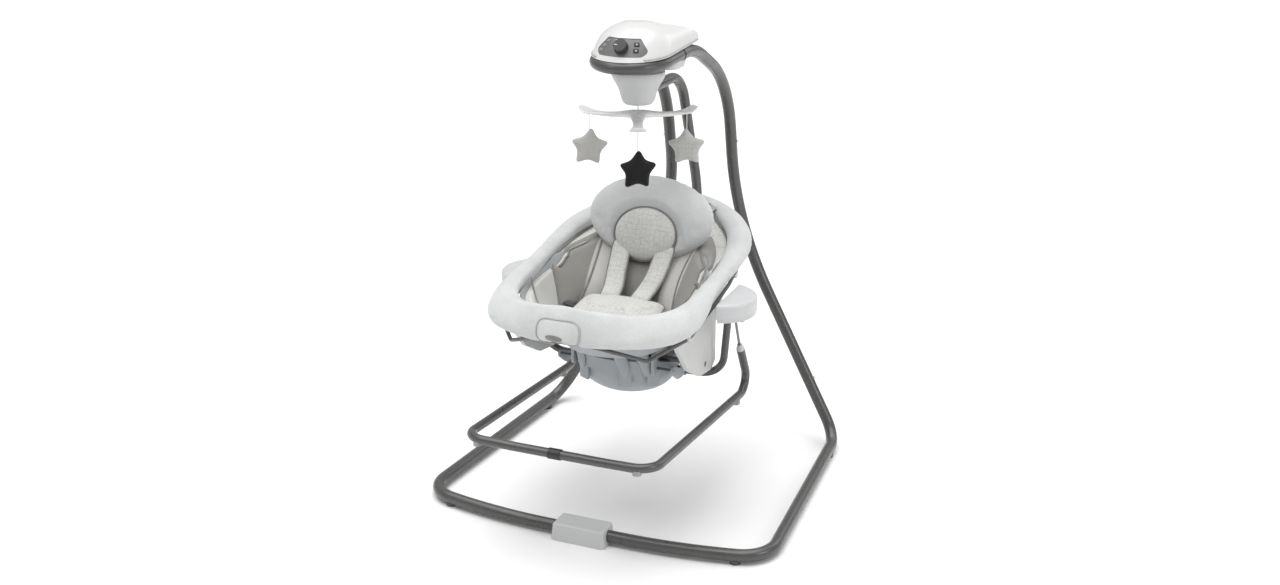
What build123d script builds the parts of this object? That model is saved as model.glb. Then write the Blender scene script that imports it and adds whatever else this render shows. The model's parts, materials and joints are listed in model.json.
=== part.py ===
from build123d import *
import math
import os

# Baby swing: a bent-tube stand, a battery-driven head, a swing arm that sways from side to
# side, a lift-off bouncer with a reclining padded seat, and a three-arm mobile with stars.
# Millimetres, +Z up, the child faces -Y, the plane x = 0 is the plane of symmetry, and the
# origin is on the floor under the middle of the whole product.

os.makedirs("parts", exist_ok=True)

# ---------------------------------------------------------------- driving dimensions
# Stand tubing
tube_radius = 13.35
tube_wall = 1.2
glide_height = 4.5
base_front_half = 394.0
base_front_y = -253.0
base_bow = 40.0
base_bow_half = 200.0
base_rear_half = 361.0
base_rear_y = 358.0
front_bow_radius = 1150.0
front_corner_radius = 75.0
rear_corner_radius = 60.0
upright_half = 76.0
shoulder_y = 427.6
shoulder_z = 500.0
shoulder_radius = 560.0
crook_y = 348.0
crook_z = 858.0
crook_radius = 250.0
crest_y = 126.0
crest_radius = 240.0
lower_joint_z = 130.0
upper_joint_z = 690.0
spigot_length = 45.0
spigot_clearance = 0.15
collar_length = 3.0
snap_radius = 3.2
snap_proud = 2.6
snap_offset = 20.0
snap_clearance = 0.12
glide_radius = 11.0
glide_wrap = 5.0

# Foot pad on the front bar
foot_pad_length = 124.0
foot_pad_width = 62.0
foot_pad_height = 38.0
foot_pad_corner = 9.0

# Swing head
head_end_y = 53.0
head_z = 965.0
band_slope = 7.0 / 159.0
band_radius = 12.0
band_front_y = -106.0
band_nose = 90.0
cover_seat_rise = 12.6
cover_wall = 2.6
cover_half = 84.0
cover_front_y = -108.0
cover_rear_y = 172.0
cover_top_z = 1036.0
base_side_gap = 0.3
base_floor_z = 950.0
base_wall = 3.0
bulge_floor_z = 924.0
bulge_front_y = 76.0
panel_recess = 1.0
panel_thickness = 2.4
panel_gap = 0.25
door_front_y = 84.0
door_rear_y = 148.0
door_half = 50.0
door_gap = 0.4
knob_radius = 15.0
knob_height = 13.0
knob_stem_radius = 5.0
knob_z = 996.0
button_proud = 1.6
button_depth = 5.0
button_clearance = 0.2
button_travel = 1.0

# Drive inside the head
pivot_z = 985.0
axle_radius = 6.0
axle_length = 92.0
axle_middle_y = 8.0
running_clearance = 0.03
bearing_radius = 14.0
bearing_width = 10.0
bearing_spread = 32.0
post_half = 19.0
cell_radius = 12.9
cell_length = 46.0
tray_z = 971.0
motor_radius = 14.0
motor_length = 32.0
motor_rear_y = 84.0
motor_shaft = 6.0
motor_side = 29.0

# Swaying hanger and arm
cone_top_z = 934.0
cone_bottom_z = 866.0
cone_top_half = 57.0
cone_bottom_half = 34.0
cone_middle_y = 8.0
neck_half = 18.0
neck_depth = 34.0
sleeve_radius = 14.0
arm_radius = 11.5
arm_wall = 1.4
arm_crook_radius = 95.0
arm_rear_y = 368.0
arm_low_z = 288.0
arm_low_radius = 110.0
dock_middle_y = -50.0
dock_half = 112.0
dock_depth = 92.0
dock_top_z = 321.0
dock_bottom_z = 262.0
dock_wall = 4.0

# Mobile
mobile_y = 6.0
mobile_z = 843.0
mobile_turn = -67.3
mobile_reach = 140.0
cord_reach = 120.0
cup_half_thickness = 2.4
hook_radius = 1.6
hook_ball = 3.0
cord_radius = 0.9
cord_gap = 0.6
cord_touch = 0.05
star_tip = 39.5
star_waist = 27.5
star_thickness = 26.0
star_drops = {"grey_star": 34.0, "black_star": 38.0, "print_star": 30.5}
star_turns = {"grey_star": -120.0, "black_star": 0.0, "print_star": 120.0}

# Bouncer frame
loop_radius = 9.5
loop_wall = 1.2
loop_front_y = -415.0
loop_front_z = 249.0
loop_front_half = 205.0
loop_bow = 3.0
loop_rear_half = 211.0
loop_rear_y = 150.0
loop_rear_z = 207.0
loop_front_radius = 44.0
loop_rear_radius = 33.0
loop_sleeve_radius = 11.2
loop_sleeve_length = 26.0
ferrule_y = 83.0
ferrule_z = 322.0
ferrule_length = 15.0
ferrule_depth = 12.0
wire_radius = 3.0
bounce_y = -60.0
bounce_z = 449.0
wire_side = 246.0
wire_end = 270.0
hoop_radius = 8.0
hoop_top_half = 232.0
hoop_top_z = 461.0
hoop_low_half = 208.0
hoop_low_y = -26.0
hoop_low_z = 300.0
hoop_bend = 58.0
pod_middle = (212.0, -57.0)
pod_radius = 77.0
pod_inner_half = 229.0
lug_half = 255.5
pod_bottom_z = 458.0
pod_seam_z = 466.0
pod_top_z = 497.0
ear_radius = 14.0
ear_inner_half = 206.0
tray_half = 120.0
tray_depth = 100.0
tray_thickness = 6.0
tray_wall = 4.5
tray_rim_z = 350.0
dock_seat_gap = 0.3
lobe_gap = 2.0
lobe_drop = 30.0
lobe_radius = 14.0
lobe_places = ((-68.0, -132.0), (34.0, -146.0), (88.0, -118.0))
saddle_half = 121.0
saddle_width = 9.0
cheek_half = 92.0
cheek_width = 6.0

# Recline hinge and its latch
recline_y = -60.0
recline_z = 466.0
recline_travel = 14.0
recline_pin_radius = 5.0
bracket_inner_half = 180.0
bracket_thickness = 9.0
bracket_outline = (
    (-252.0, 448.0),
    (-180.0, 366.0),
    (-112.0, 328.0),
    (-44.0, 318.0),
    (-18.0, 332.0),
    (-18.0, 424.0),
    (60.0, 492.0),
    (46.0, 514.0),
    (-226.0, 466.0),
)
bar_y = -80.0
bar_z = 344.0
bar_radius = 6.0
bar_play = 0.2
latch_y = -116.0
latch_z = 333.0
latch_rod_radius = 3.0
latch_plate_half = 128.0
latch_plate_thickness = 4.0

# Seat: bucket sections are (height, middle y, half width, half length, slope)
bucket_sections = (
    (397.0, -110.0, 95.0, 90.0, 0.0),
    (455.0, -140.0, 148.0, 128.0, 0.0),
    (525.0, -135.0, 182.0, 203.0, 0.0),
    (572.0, -60.0, 198.0, 298.0, 0.094),
)
bucket_edge = (
    (-420.0, 534.0),
    (-358.0, 534.0),
    (-285.0, 513.0),
    (-223.0, 509.0),
    (-123.0, 517.0),
    (-23.0, 528.0),
    (87.0, 550.0),
    (162.0, 577.0),
    (236.0, 606.0),
    (300.0, 616.0),
)
liner_thickness = 12.0
shell_gap = 0.4
shell_wall = 3.0
soft_gap = 0.3
rim_gap = 0.7
# Rim cushion stations: (inner point, outer point, half thickness)
rim_stations = (
    ((0.0, -358.0, 542.0), (0.0, -398.0, 473.0), 17.0),
    ((71.0, -337.0, 533.0), (100.0, -368.0, 462.0), 17.0),
    ((126.0, -287.0, 521.0), (180.0, -320.0, 463.0), 17.0),
    ((168.0, -223.0, 517.0), (223.0, -243.0, 472.0), 17.0),
    ((180.0, -123.0, 526.0), (222.0, -121.0, 494.0), 16.0),
    ((180.0, -23.0, 538.0), (221.0, -4.0, 516.0), 16.0),
    ((168.0, 87.0, 556.0), (216.0, 122.0, 546.0), 18.0),
    ((136.0, 164.0, 573.0), (165.0, 212.0, 566.0), 20.0),
    ((78.0, 217.0, 588.0), (92.0, 268.0, 574.0), 21.0),
    ((0.0, 238.0, 595.0), (0.0, 291.0, 577.0), 21.0),
)
frame_wire_radius = 4.0
frame_wire_path = (
    (0.0, -362.0, 465.0),
    (60.0, -362.0, 465.0),
    (150.0, -303.0, 427.0),
    (212.0, -236.0, 460.0),
    (213.0, -120.0, 480.0),
    (210.0, 0.0, 497.0),
    (203.0, 104.0, 525.0),
    (145.0, 192.0, 543.0),
    (80.0, 258.0, 557.0),
    (0.0, 258.0, 557.0),
)
frame_wire_bends = (30.0, 13.0, 40.0, 90.0, 90.0, 90.0, 60.0, 50.0)
back_lean = 18.0
pillow_middle = (84.0, 602.0)
pillow_half = 144.0
pillow_rise = 86.0
pillow_thickness = 44.0
cushion_drop = 32.0
cushion_half = 70.0
cushion_rise = 54.0
cushion_thickness = 22.0
strap_lean = 48.0
strap_half = 43.0
strap_middle = (8.0, 489.0)
strap_width = 44.0
strap_length = 90.0
strap_thickness = 18.0
waist_y = -110.0
waist_z = 430.0
waist_half = 90.0
waist_depth = 88.0
waist_thickness = 15.0
tongue_half = 24.0
tongue_foot = (-196.0, 412.0)
buckle_length = 22.0
buckle_width = 28.0
buckle_thickness = 9.0


# ---------------------------------------------------------------- shared helpers
def save(builder, label):
    builder.part.label = label
    export_step(builder.part, f"parts/{label}.step")


def save_mirrored(builder, label):
    """The same piece on the other side of the plane of symmetry."""
    with BuildPart() as twin:
        mirror(builder.part, about=Plane.YZ)
    save(twin, label)


def direction(start, end):
    return (Vector(*end) - Vector(*start)).normalized()


def along(start, end, distance):
    return Vector(*start) + direction(start, end) * distance


def at_height(start, end, height):
    """Point of the line from start to end at the given height."""
    share = (height - start[2]) / (end[2] - start[2])
    return tuple(a + (b - a) * share for a, b in zip(start, end))


def bent_tube(points, bends, radius, bore=0.0):
    """Round tube or rod along straight runs joined by tangent arcs."""
    with BuildPart() as piece:
        with BuildLine():
            path = FilletPolyline(*points, radius=bends)
        with BuildSketch(Plane(origin=points[0], z_dir=direction(points[0], points[1]))):
            Circle(radius)
            if bore > 0:
                Circle(bore, mode=Mode.SUBTRACT)
        sweep(path=path)
    return piece


def across(axis):
    """Unit vector nearest +X that is square to the given axis."""
    sideways = Vector(1, 0, 0)
    return (sideways - axis * sideways.dot(axis)).normalized()


# ---------------------------------------------------------------- stand
tube_z = glide_height + tube_radius
tube_bore = tube_radius - tube_wall
spigot_radius = tube_bore - spigot_clearance
base_mid = (0.0, base_front_y - base_bow, tube_z)
base_bow_end = (base_bow_half, base_front_y - base_bow, tube_z)
base_front = (base_front_half, base_front_y, tube_z)
base_rear = (base_rear_half, base_rear_y, tube_z)
shoulder = (upright_half, shoulder_y, shoulder_z)
crook = (upright_half, crook_y, crook_z)
crest = (upright_half, crest_y, head_z + (crest_y - head_end_y) * band_slope)
head_end = (upright_half, head_end_y, head_z)
lower_joint = at_height(base_rear, shoulder, lower_joint_z)
upper_joint = at_height(shoulder, crook, upper_joint_z)


def add_spigot(joint, axis):
    """Swaged end that the next tube slips over."""
    upright = (Align.CENTER, Align.CENTER, Align.MIN)
    with Locations(Plane(origin=Vector(*joint) - axis * collar_length, z_dir=axis)):
        Cylinder(tube_bore + tube_wall / 2, collar_length, align=upright)
        Cylinder(spigot_radius, collar_length + spigot_length, align=upright)
    with Locations(Plane(origin=Vector(*joint) - axis * 2 * collar_length, z_dir=axis)):
        Cylinder(
            spigot_radius - tube_wall,
            3 * collar_length + spigot_length,
            align=upright,
            mode=Mode.SUBTRACT,
        )


def snap_hole(joint, axis):
    """Hole that the sprung snap button stands in."""
    with Locations(Plane(origin=Vector(*joint) + axis * snap_offset, z_dir=across(axis))):
        Cylinder(
            snap_radius + snap_clearance,
            tube_radius + tube_wall,
            align=(Align.CENTER, Align.CENTER, Align.MIN),
            mode=Mode.SUBTRACT,
        )


def snap_button(joint, axis):
    with Locations(Plane(origin=Vector(*joint) + axis * snap_offset, z_dir=across(axis))):
        with Locations((0, 0, spigot_radius + running_clearance)):
            Cylinder(
                snap_radius,
                tube_radius + snap_proud - spigot_radius,
                align=(Align.CENTER, Align.CENTER, Align.MIN),
            )


lower_axis = direction(base_rear, shoulder)
upper_axis = direction(shoulder, crook)

base_tube = bent_tube(
    (base_mid, base_bow_end, base_front, base_rear, lower_joint),
    (front_bow_radius, front_corner_radius, rear_corner_radius),
    tube_radius,
    tube_bore,
)
with base_tube:
    add_spigot(lower_joint, lower_axis)
save(base_tube, "base_tube_right")
save_mirrored(base_tube, "base_tube_left")

lower_upright = bent_tube(
    (lower_joint, shoulder, upper_joint), (shoulder_radius,), tube_radius, tube_bore
)
with lower_upright:
    snap_hole(lower_joint, lower_axis)
    add_spigot(upper_joint, upper_axis)
save(lower_upright, "lower_upright_right")
save_mirrored(lower_upright, "lower_upright_left")

upper_tube = bent_tube(
    (upper_joint, crook, crest, head_end), (crook_radius, crest_radius), tube_radius, tube_bore
)
with upper_tube:
    snap_hole(upper_joint, upper_axis)
save(upper_tube, "upper_tube_right")
save_mirrored(upper_tube, "upper_tube_left")

with BuildPart() as snap_buttons:
    snap_button(lower_joint, lower_axis)
    snap_button(upper_joint, upper_axis)
    mirror(about=Plane.YZ)
save(snap_buttons, "snap_buttons")

# Grip glides hug the underside of the base and keep it off the floor.
glide_places = (
    along(base_front, base_bow_end, front_corner_radius * 0.75 + glide_radius),
    along(base_rear, base_front, rear_corner_radius + glide_radius),
)
base_rod = bent_tube(
    (base_bow_end, base_front, base_rear, lower_joint),
    (front_corner_radius, rear_corner_radius),
    tube_radius,
)
with BuildPart() as floor_glides:
    with Locations(*[(p.X, p.Y, 0) for p in glide_places]):
        Cylinder(
            glide_radius, glide_height + glide_wrap, align=(Align.CENTER, Align.CENTER, Align.MIN)
        )
    add(base_rod.part, mode=Mode.SUBTRACT)
    mirror(about=Plane.YZ)
save(floor_glides, "floor_glides")

# The foot pad is a moulded clamp round the middle of the front bar.
with BuildPart() as foot_pad:
    with BuildSketch(Plane.XY):
        with Locations((0, base_mid[1])):
            RectangleRounded(foot_pad_length, foot_pad_width, foot_pad_corner)
    extrude(amount=foot_pad_height, taper=7)
    fillet(foot_pad.faces().sort_by(Axis.Z)[-1].edges(), 5)
    with BuildSketch(Plane.YZ.offset(-foot_pad_length)):
        with Locations((base_mid[1], tube_z)):
            Circle(tube_radius)
    extrude(amount=2 * foot_pad_length, mode=Mode.SUBTRACT)
save(foot_pad, "foot_pad")

# ---------------------------------------------------------------- swing head
nose_y = band_front_y + band_nose
band_plane = Plane(
    origin=(0, nose_y, head_z + (nose_y - head_end_y) * band_slope),
    x_dir=(1, 0, 0),
    z_dir=(0, -band_slope, 1),
)
band_straight = (Vector(*head_end) - band_plane.origin).dot(band_plane.y_dir)
with BuildPart() as front_band:
    with BuildLine(band_plane) as band_line:
        nose = EllipticalCenterArc((0, 0), upright_half, band_nose, start_angle=180, arc_size=180)
        Line((upright_half, 0), (upright_half, band_straight))
        Line((-upright_half, band_straight), (-upright_half, 0))
    with BuildSketch(Plane(origin=head_end, z_dir=-band_plane.y_dir)):
        Circle(band_radius)
    sweep(path=band_line.wires()[0])
save(front_band, "front_band")


def head_outline(half, front, rear):
    """Round-nosed outline with straight flanks and a bowed rear."""
    nose_depth = half * 1.05
    bow = half * 0.42
    with BuildSketch() as outline:
        with BuildLine():
            nose_arc = EllipticalCenterArc(
                (0, front + nose_depth), half, nose_depth, start_angle=180, arc_size=180
            )
            right = Line(nose_arc @ 1, (half, rear - bow))
            back = ThreePointArc(right @ 1, (0, rear), (-half, rear - bow))
            Line(back @ 1, nose_arc @ 0)
        make_face()
    return outline.sketch


cover_levels = (
    (0.0, cover_half, cover_front_y, cover_rear_y, 1.0, 0.0),
    (21.0, cover_half - 5.0, cover_front_y + 21.0, cover_rear_y - 6.0, 0.5, 0.3),
    (39.0, cover_half - 18.0, cover_front_y + 45.0, cover_rear_y - 68.0, 0.0, 0.8),
    (51.0, cover_half - 40.0, cover_front_y + 72.0, cover_rear_y - 122.0, 0.0, 1.0),
)
cover_base_z = head_z + cover_seat_rise
cover_rise = cover_top_z - cover_base_z


def cover_body(inset):
    """Outer form of the head cover, or the same form shrunk by an inset."""
    with BuildPart() as body:
        for rise, half, front, rear, tilt, drop in cover_levels:
            height = cover_base_z + rise * cover_rise / 57.0 - inset * drop
            level = Plane(
                origin=(0, head_end_y, height), x_dir=(1, 0, 0), z_dir=(0, -band_slope * tilt, 1)
            )
            with BuildSketch(level):
                add(head_outline(half - inset, front + inset - head_end_y, rear - inset - head_end_y))
        with BuildSketch(Plane.XY.offset(cover_top_z - inset)):
            add(head_outline(20 - inset * 0.5, cover_front_y + 98.0, cover_front_y + 132.0))
        loft()
    return body


def panel_block(shrink):
    """Window of the control panel, seen from the front."""
    with BuildPart() as block:
        with BuildSketch(Plane.XZ.offset(-cover_front_y + 40)) as window:
            with BuildLine():
                Polyline(
                    (-46 + shrink, 980 + shrink),
                    (46 - shrink, 980 + shrink),
                    (57 - shrink, 988),
                    (35 - shrink, 1013 - shrink),
                    (-35 + shrink, 1013 - shrink),
                    (-57 + shrink, 988),
                    close=True,
                )
            make_face()
            fillet(window.vertices(), 7 - shrink)
        extrude(amount=-110)
    return block


def door_block(shrink):
    """Opening of the battery door, seen from above."""
    with BuildPart() as block:
        with BuildSketch(Plane.XY.offset(cover_base_z + 8)):
            with Locations((0, (door_front_y + door_rear_y) / 2)):
                RectangleRounded(
                    2 * (door_half - shrink), door_rear_y - door_front_y - 2 * shrink, 8
                )
        extrude(amount=90)
    return block


outer_form = cover_body(0).part
inner_form = cover_body(cover_wall).part
panel_form = cover_body(panel_recess).part
panel_back = cover_body(panel_recess + panel_thickness).part
panel_opening = panel_block(0).part
panel_plug = panel_block(panel_gap).part
door_opening = door_block(0).part
door_plug = door_block(door_gap).part

with BuildPart() as housing_cover:
    add(outer_form)
    add(inner_form, mode=Mode.SUBTRACT)
    add(panel_opening, mode=Mode.SUBTRACT)
    add(door_opening, mode=Mode.SUBTRACT)
save(housing_cover, "housing_cover")

with BuildPart() as battery_door:
    add(outer_form)
    add(inner_form, mode=Mode.SUBTRACT)
    add(door_plug, mode=Mode.INTERSECT)
save(battery_door, "battery_door")


def panel_frame(x, z):
    """Plane that touches the panel at a point, looking out along its normal."""
    sight = Axis((x, -300, z), (0, 1, 0))
    hits = [hit for face in panel_form.faces() for hit in face.find_intersection_points(sight)]
    point, normal = min(hits, key=lambda hit: hit[0].Y)
    if normal.Y > 0:
        normal = normal * -1
    return Plane(origin=point, x_dir=Vector(0, 0, 1).cross(normal), z_dir=normal)


button_places = {
    "timer_button": (-32.0, 1006.0, 8.0, 6.0),
    "sound_button": (-38.0, 997.5, 9.0, 6.0),
    "volume_button": (-44.0, 989.0, 10.0, 6.0),
    "music_button": (31.0, 1002.5, 11.0, 9.0),
    "nature_button": (33.0, 991.5, 11.0, 9.0),
}
button_frames = {name: panel_frame(x, z) for name, (x, z, w, h) in button_places.items()}
knob_frame = panel_frame(3.0, knob_z)

with BuildPart() as control_panel:
    add(panel_form)
    add(panel_back, mode=Mode.SUBTRACT)
    add(panel_plug, mode=Mode.INTERSECT)
    for name, (x, z, width, height) in button_places.items():
        with BuildSketch(button_frames[name].offset(button_depth)):
            RectangleRounded(width + 2 * button_clearance, height + 2 * button_clearance, 2)
        extrude(amount=-3 * button_depth, mode=Mode.SUBTRACT)
    with BuildSketch(knob_frame.offset(button_depth)):
        Circle(knob_stem_radius + running_clearance)
    extrude(amount=-3 * button_depth, mode=Mode.SUBTRACT)
save(control_panel, "control_panel")

for name, (x, z, width, height) in button_places.items():
    with BuildPart() as button:
        with BuildSketch(button_frames[name].offset(-button_depth)):
            RectangleRounded(width, height, 1.8)
        extrude(amount=button_depth + button_proud)
        outward = Axis(button_frames[name].origin, button_frames[name].z_dir)
        fillet(button.faces().sort_by(outward)[-1].edges(), 0.7)
    save(button, name)

with BuildPart() as speed_knob:
    with BuildSketch(knob_frame.offset(-panel_thickness * 2)):
        Circle(knob_stem_radius)
    extrude(amount=panel_thickness * 2 + 2.2)
    with BuildSketch(knob_frame.offset(2.2)):
        Circle(knob_radius)
    extrude(amount=knob_height - 2.2, taper=5)
    with BuildSketch(knob_frame.offset(knob_height - 0.8)):
        with Locations((-knob_radius * 0.55, 0)):
            RectangleRounded(knob_radius * 0.7, 1.6, 0.7)
    extrude(amount=2, mode=Mode.SUBTRACT)
save(speed_knob, "speed_knob")

# The head base carries the tubes on its flanks, the axle posts and the battery tray.
base_half = upright_half - tube_radius - base_side_gap
base_nose_y = -70.0
with BuildPart() as housing_base:
    with BuildSketch(Plane.XY.offset(base_floor_z)):
        add(head_outline(base_half - 6, base_nose_y, cover_rear_y - 12))
    with BuildSketch(Plane.XY.offset(base_floor_z + 14)):
        add(head_outline(base_half, base_nose_y - 6, cover_rear_y - 6))
    loft()
    with BuildSketch(Plane.XY.offset(base_floor_z + 14)):
        add(head_outline(base_half, base_nose_y - 6, cover_rear_y - 6))
    extrude(amount=cover_base_z - base_floor_z - 15.0)
    with BuildSketch(Plane.XY.offset(bulge_floor_z)):
        with Locations((0, (bulge_front_y + cover_rear_y) / 2 - 8)):
            RectangleRounded(2 * base_half - 22, cover_rear_y - bulge_front_y - 22, 20)
    with BuildSketch(Plane.XY.offset(base_floor_z + 4)):
        with Locations((0, (bulge_front_y + cover_rear_y) / 2 - 8)):
            RectangleRounded(2 * base_half - 4, cover_rear_y - bulge_front_y - 10, 22)
    loft()
    with BuildSketch(Plane.XY.offset(base_floor_z + base_wall)):
        add(
            head_outline(
                base_half - 6 - base_wall, base_nose_y + base_wall, cover_rear_y - 12 - base_wall
            )
        )
    extrude(amount=60, mode=Mode.SUBTRACT)
    # Slot that the hanger neck sways in
    with BuildSketch(Plane.XY.offset(base_floor_z - 2)):
        with Locations((0, cone_middle_y)):
            Rectangle(2 * (neck_half + 13), neck_depth + 10)
    extrude(amount=base_wall + 4, mode=Mode.SUBTRACT)
    # Axle posts
    for side in (-1, 1):
        post_y = axle_middle_y + side * bearing_spread
        with BuildSketch(Plane.XZ.offset(-post_y - bearing_width / 2)):
            with Locations((0, (base_floor_z + pivot_z) / 2)):
                Rectangle(2 * post_half, pivot_z - base_floor_z)
            with Locations((0, pivot_z)):
                Circle(post_half)
                Circle(bearing_radius, mode=Mode.SUBTRACT)
        extrude(amount=bearing_width)
    # Battery tray
    with BuildSketch(Plane.XY.offset(tray_z - base_wall)):
        with Locations((0, 118)):
            Rectangle(2 * base_half - 12, 66)
    extrude(amount=base_wall)
save(housing_base, "housing_base")

with BuildPart() as axle_bearings:
    for side in (-1, 1):
        post_y = axle_middle_y + side * bearing_spread
        with BuildSketch(Plane.XZ.offset(-post_y - bearing_width / 2)):
            with Locations((0, pivot_z)):
                Circle(bearing_radius)
                Circle(axle_radius + running_clearance, mode=Mode.SUBTRACT)
        extrude(amount=bearing_width)
save(axle_bearings, "axle_bearings")

with BuildPart() as batteries:
    for row_y in (102.0, 102.0 + 2 * cell_radius + 0.8):
        for side in (-1, 1):
            with Locations((side * (cell_length / 2 + 1.6), row_y, tray_z + cell_radius + 0.1)):
                Cylinder(cell_radius, cell_length, rotation=(0, 90, 0))
                with Locations((cell_length / 2 + 0.6, 0, 0)):
                    Cylinder(2.6, 1.3, rotation=(0, 90, 0))
save(batteries, "batteries")

with BuildPart() as drive_motor:
    with BuildSketch(Plane.XZ.offset(-motor_rear_y)):
        with Locations((motor_side, base_floor_z + base_wall + motor_radius)):
            Circle(motor_radius)
    extrude(amount=motor_length)
    with BuildSketch(Plane.XZ.offset(-motor_rear_y + motor_length)):
        with Locations((motor_side, base_floor_z + base_wall + motor_radius)):
            Circle(3)
    extrude(amount=motor_shaft)
save(drive_motor, "drive_motor")

with BuildPart() as circuit_board:
    with BuildSketch(Plane.XY.offset(base_floor_z + base_wall)):
        with Locations((-32, 66)):
            Rectangle(42, 30)
    extrude(amount=1.6)
    with BuildSketch(Plane.XY.offset(base_floor_z + base_wall + 1.6)):
        with Locations((-38, 62)):
            Rectangle(12, 12)
        with Locations((-22, 70)):
            Circle(4)
    extrude(amount=5)
save(circuit_board, "circuit_board")

# ---------------------------------------------------------------- swaying hanger
with BuildPart() as swing_axle:
    with BuildSketch(Plane.XZ.offset(-axle_middle_y - axle_length / 2)):
        with Locations((0, pivot_z)):
            Circle(axle_radius)
    extrude(amount=axle_length)
save(swing_axle, "swing_axle")

arm_start = (0.0, cone_middle_y, 884.0)
arm_crook = (0.0, 250.0, 884.0)
arm_shoulder = (0.0, arm_rear_y, 590.0)
arm_low = (0.0, arm_rear_y, arm_low_z)
arm_end = (0.0, dock_middle_y + dock_depth - 10.0, arm_low_z)

swing_arm = bent_tube(
    (arm_start, arm_crook, arm_shoulder, arm_low, arm_end),
    (arm_crook_radius, 300.0, arm_low_radius),
    arm_radius,
    arm_radius - arm_wall,
)

with BuildPart() as hanger_cone:
    for height, half, depth in (
        (cone_bottom_z, cone_bottom_half - 5, cone_bottom_half - 5),
        (cone_bottom_z + 7, cone_bottom_half, cone_bottom_half),
        (cone_bottom_z + 34, cone_bottom_half + 9, cone_bottom_half + 8),
        (cone_top_z - 5, cone_top_half, cone_top_half - 4),
        (cone_top_z, cone_top_half - 1, cone_top_half - 5),
    ):
        with BuildSketch(Plane(origin=(0, cone_middle_y, height))):
            Ellipse(half, depth)
    loft()
    with BuildSketch(Plane(origin=(0, cone_middle_y, cone_top_z - 10))):
        RectangleRounded(2 * neck_half, neck_depth, 6)
    extrude(amount=pivot_z - cone_top_z + 10)
    with BuildSketch(Plane.XZ.offset(-cone_middle_y - neck_depth / 2)):
        with Locations((0, pivot_z)):
            Circle(neck_half)
    extrude(amount=neck_depth)
    with BuildSketch(Plane.XZ.offset(-cone_middle_y - neck_depth)):
        with Locations((0, pivot_z)):
            Circle(axle_radius)
    extrude(amount=2 * neck_depth, mode=Mode.SUBTRACT)
    with BuildSketch(Plane.XZ.offset(-200)):
        with Locations((0, arm_start[2])):
            Circle(arm_radius)
    extrude(amount=200 - cone_middle_y, mode=Mode.SUBTRACT)
    with Locations((0, mobile_y, cone_bottom_z)):
        Cylinder(hook_radius, 12, mode=Mode.SUBTRACT)
save(hanger_cone, "hanger_cone")
save(swing_arm, "swing_arm")

with BuildPart() as dock:
    for height, half, depth in (
        (dock_bottom_z, dock_half * 0.58, dock_depth * 0.58),
        (dock_bottom_z + 7, dock_half * 0.72, dock_depth * 0.70),
        (dock_bottom_z + 30, dock_half * 0.93, dock_depth * 0.93),
        (dock_top_z, dock_half, dock_depth),
    ):
        with BuildSketch(Plane(origin=(0, dock_middle_y, height))):
            Ellipse(half, depth)
    loft()
    # Hollow well, open at the top
    with BuildSketch(Plane(origin=(0, dock_middle_y, dock_bottom_z + 12))):
        Ellipse(dock_half * 0.78 - dock_wall, dock_depth * 0.55)
    with BuildSketch(Plane(origin=(0, dock_middle_y, dock_top_z))):
        Ellipse(dock_half - 3 * dock_wall, dock_depth * 0.62)
    loft(mode=Mode.SUBTRACT)
    # Cross channel that the bouncer's hoop drops into
    with BuildSketch(Plane.YZ.offset(-dock_half - 5)):
        with Locations((hoop_low_y, hoop_low_z)):
            Circle(hoop_radius + dock_seat_gap)
        with Locations((hoop_low_y, hoop_low_z + 20)):
            Rectangle(2 * (hoop_radius + dock_seat_gap), 40)
    extrude(amount=2 * dock_half + 10, mode=Mode.SUBTRACT)
    # Arm socket at the rear
    with BuildSketch(Plane.XZ.offset(-(dock_middle_y + dock_depth * 0.62))):
        with Locations((0, arm_low_z)):
            Circle(arm_radius + dock_wall)
    extrude(amount=-(dock_depth * 0.38 + 16))
    with BuildSketch(Plane.XZ.offset(-arm_end[1])):
        with Locations((0, arm_low_z)):
            Circle(arm_radius)
    extrude(amount=-60, mode=Mode.SUBTRACT)
save(dock, "dock")

# ---------------------------------------------------------------- mobile
with BuildPart() as mobile_hook:
    with Locations((0, mobile_y, mobile_z - 3)):
        Sphere(hook_ball)
    with BuildSketch(Plane(origin=(0, mobile_y, mobile_z - 3))):
        Circle(hook_radius)
    extrude(amount=cone_bottom_z + 6 - mobile_z + 3)
save(mobile_hook, "mobile_hook")

arm_stations = (
    (6.0, 0.0, 14.0, 4.6),
    (30.0, -4.0, 13.0, 3.8),
    (72.0, -9.0, 10.0, 3.0),
    (100.0, -9.5, 13.5, 2.6),
    (cord_reach, -8.0, 18.5, cup_half_thickness),
    (mobile_reach, -1.0, 11.0, 1.8),
)


def mobile_plane(turn):
    """Frame of one mobile arm: local x runs out along the arm."""
    heading = math.radians(mobile_turn + turn)
    return Plane(
        origin=(0, mobile_y, mobile_z), x_dir=(math.cos(heading), math.sin(heading), 0), z_dir=(0, 0, 1)
    )


cup_bottom = -8.0 - cup_half_thickness
with BuildPart() as mobile_hub:
    for turn in star_turns.values():
        frame = mobile_plane(turn)
        for reach, height, half, thick in arm_stations:
            centre = frame.from_local_coords((reach, 0, height))
            with BuildSketch(Plane(origin=centre, x_dir=frame.y_dir, z_dir=frame.x_dir)):
                Ellipse(half, thick)
        loft()
    with Locations((0, mobile_y, mobile_z - 1)):
        Cylinder(17, 13)
    fillet(mobile_hub.faces().sort_by(Axis.Z)[-1].edges(), 3)
    with Locations((0, mobile_y, mobile_z - 3)):
        Sphere(hook_ball + 0.2, mode=Mode.SUBTRACT)
    with BuildSketch(Plane(origin=(0, mobile_y, mobile_z - 3))):
        Circle(hook_radius + running_clearance)
    extrude(amount=20, mode=Mode.SUBTRACT)
save(mobile_hub, "mobile_hub")


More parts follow.
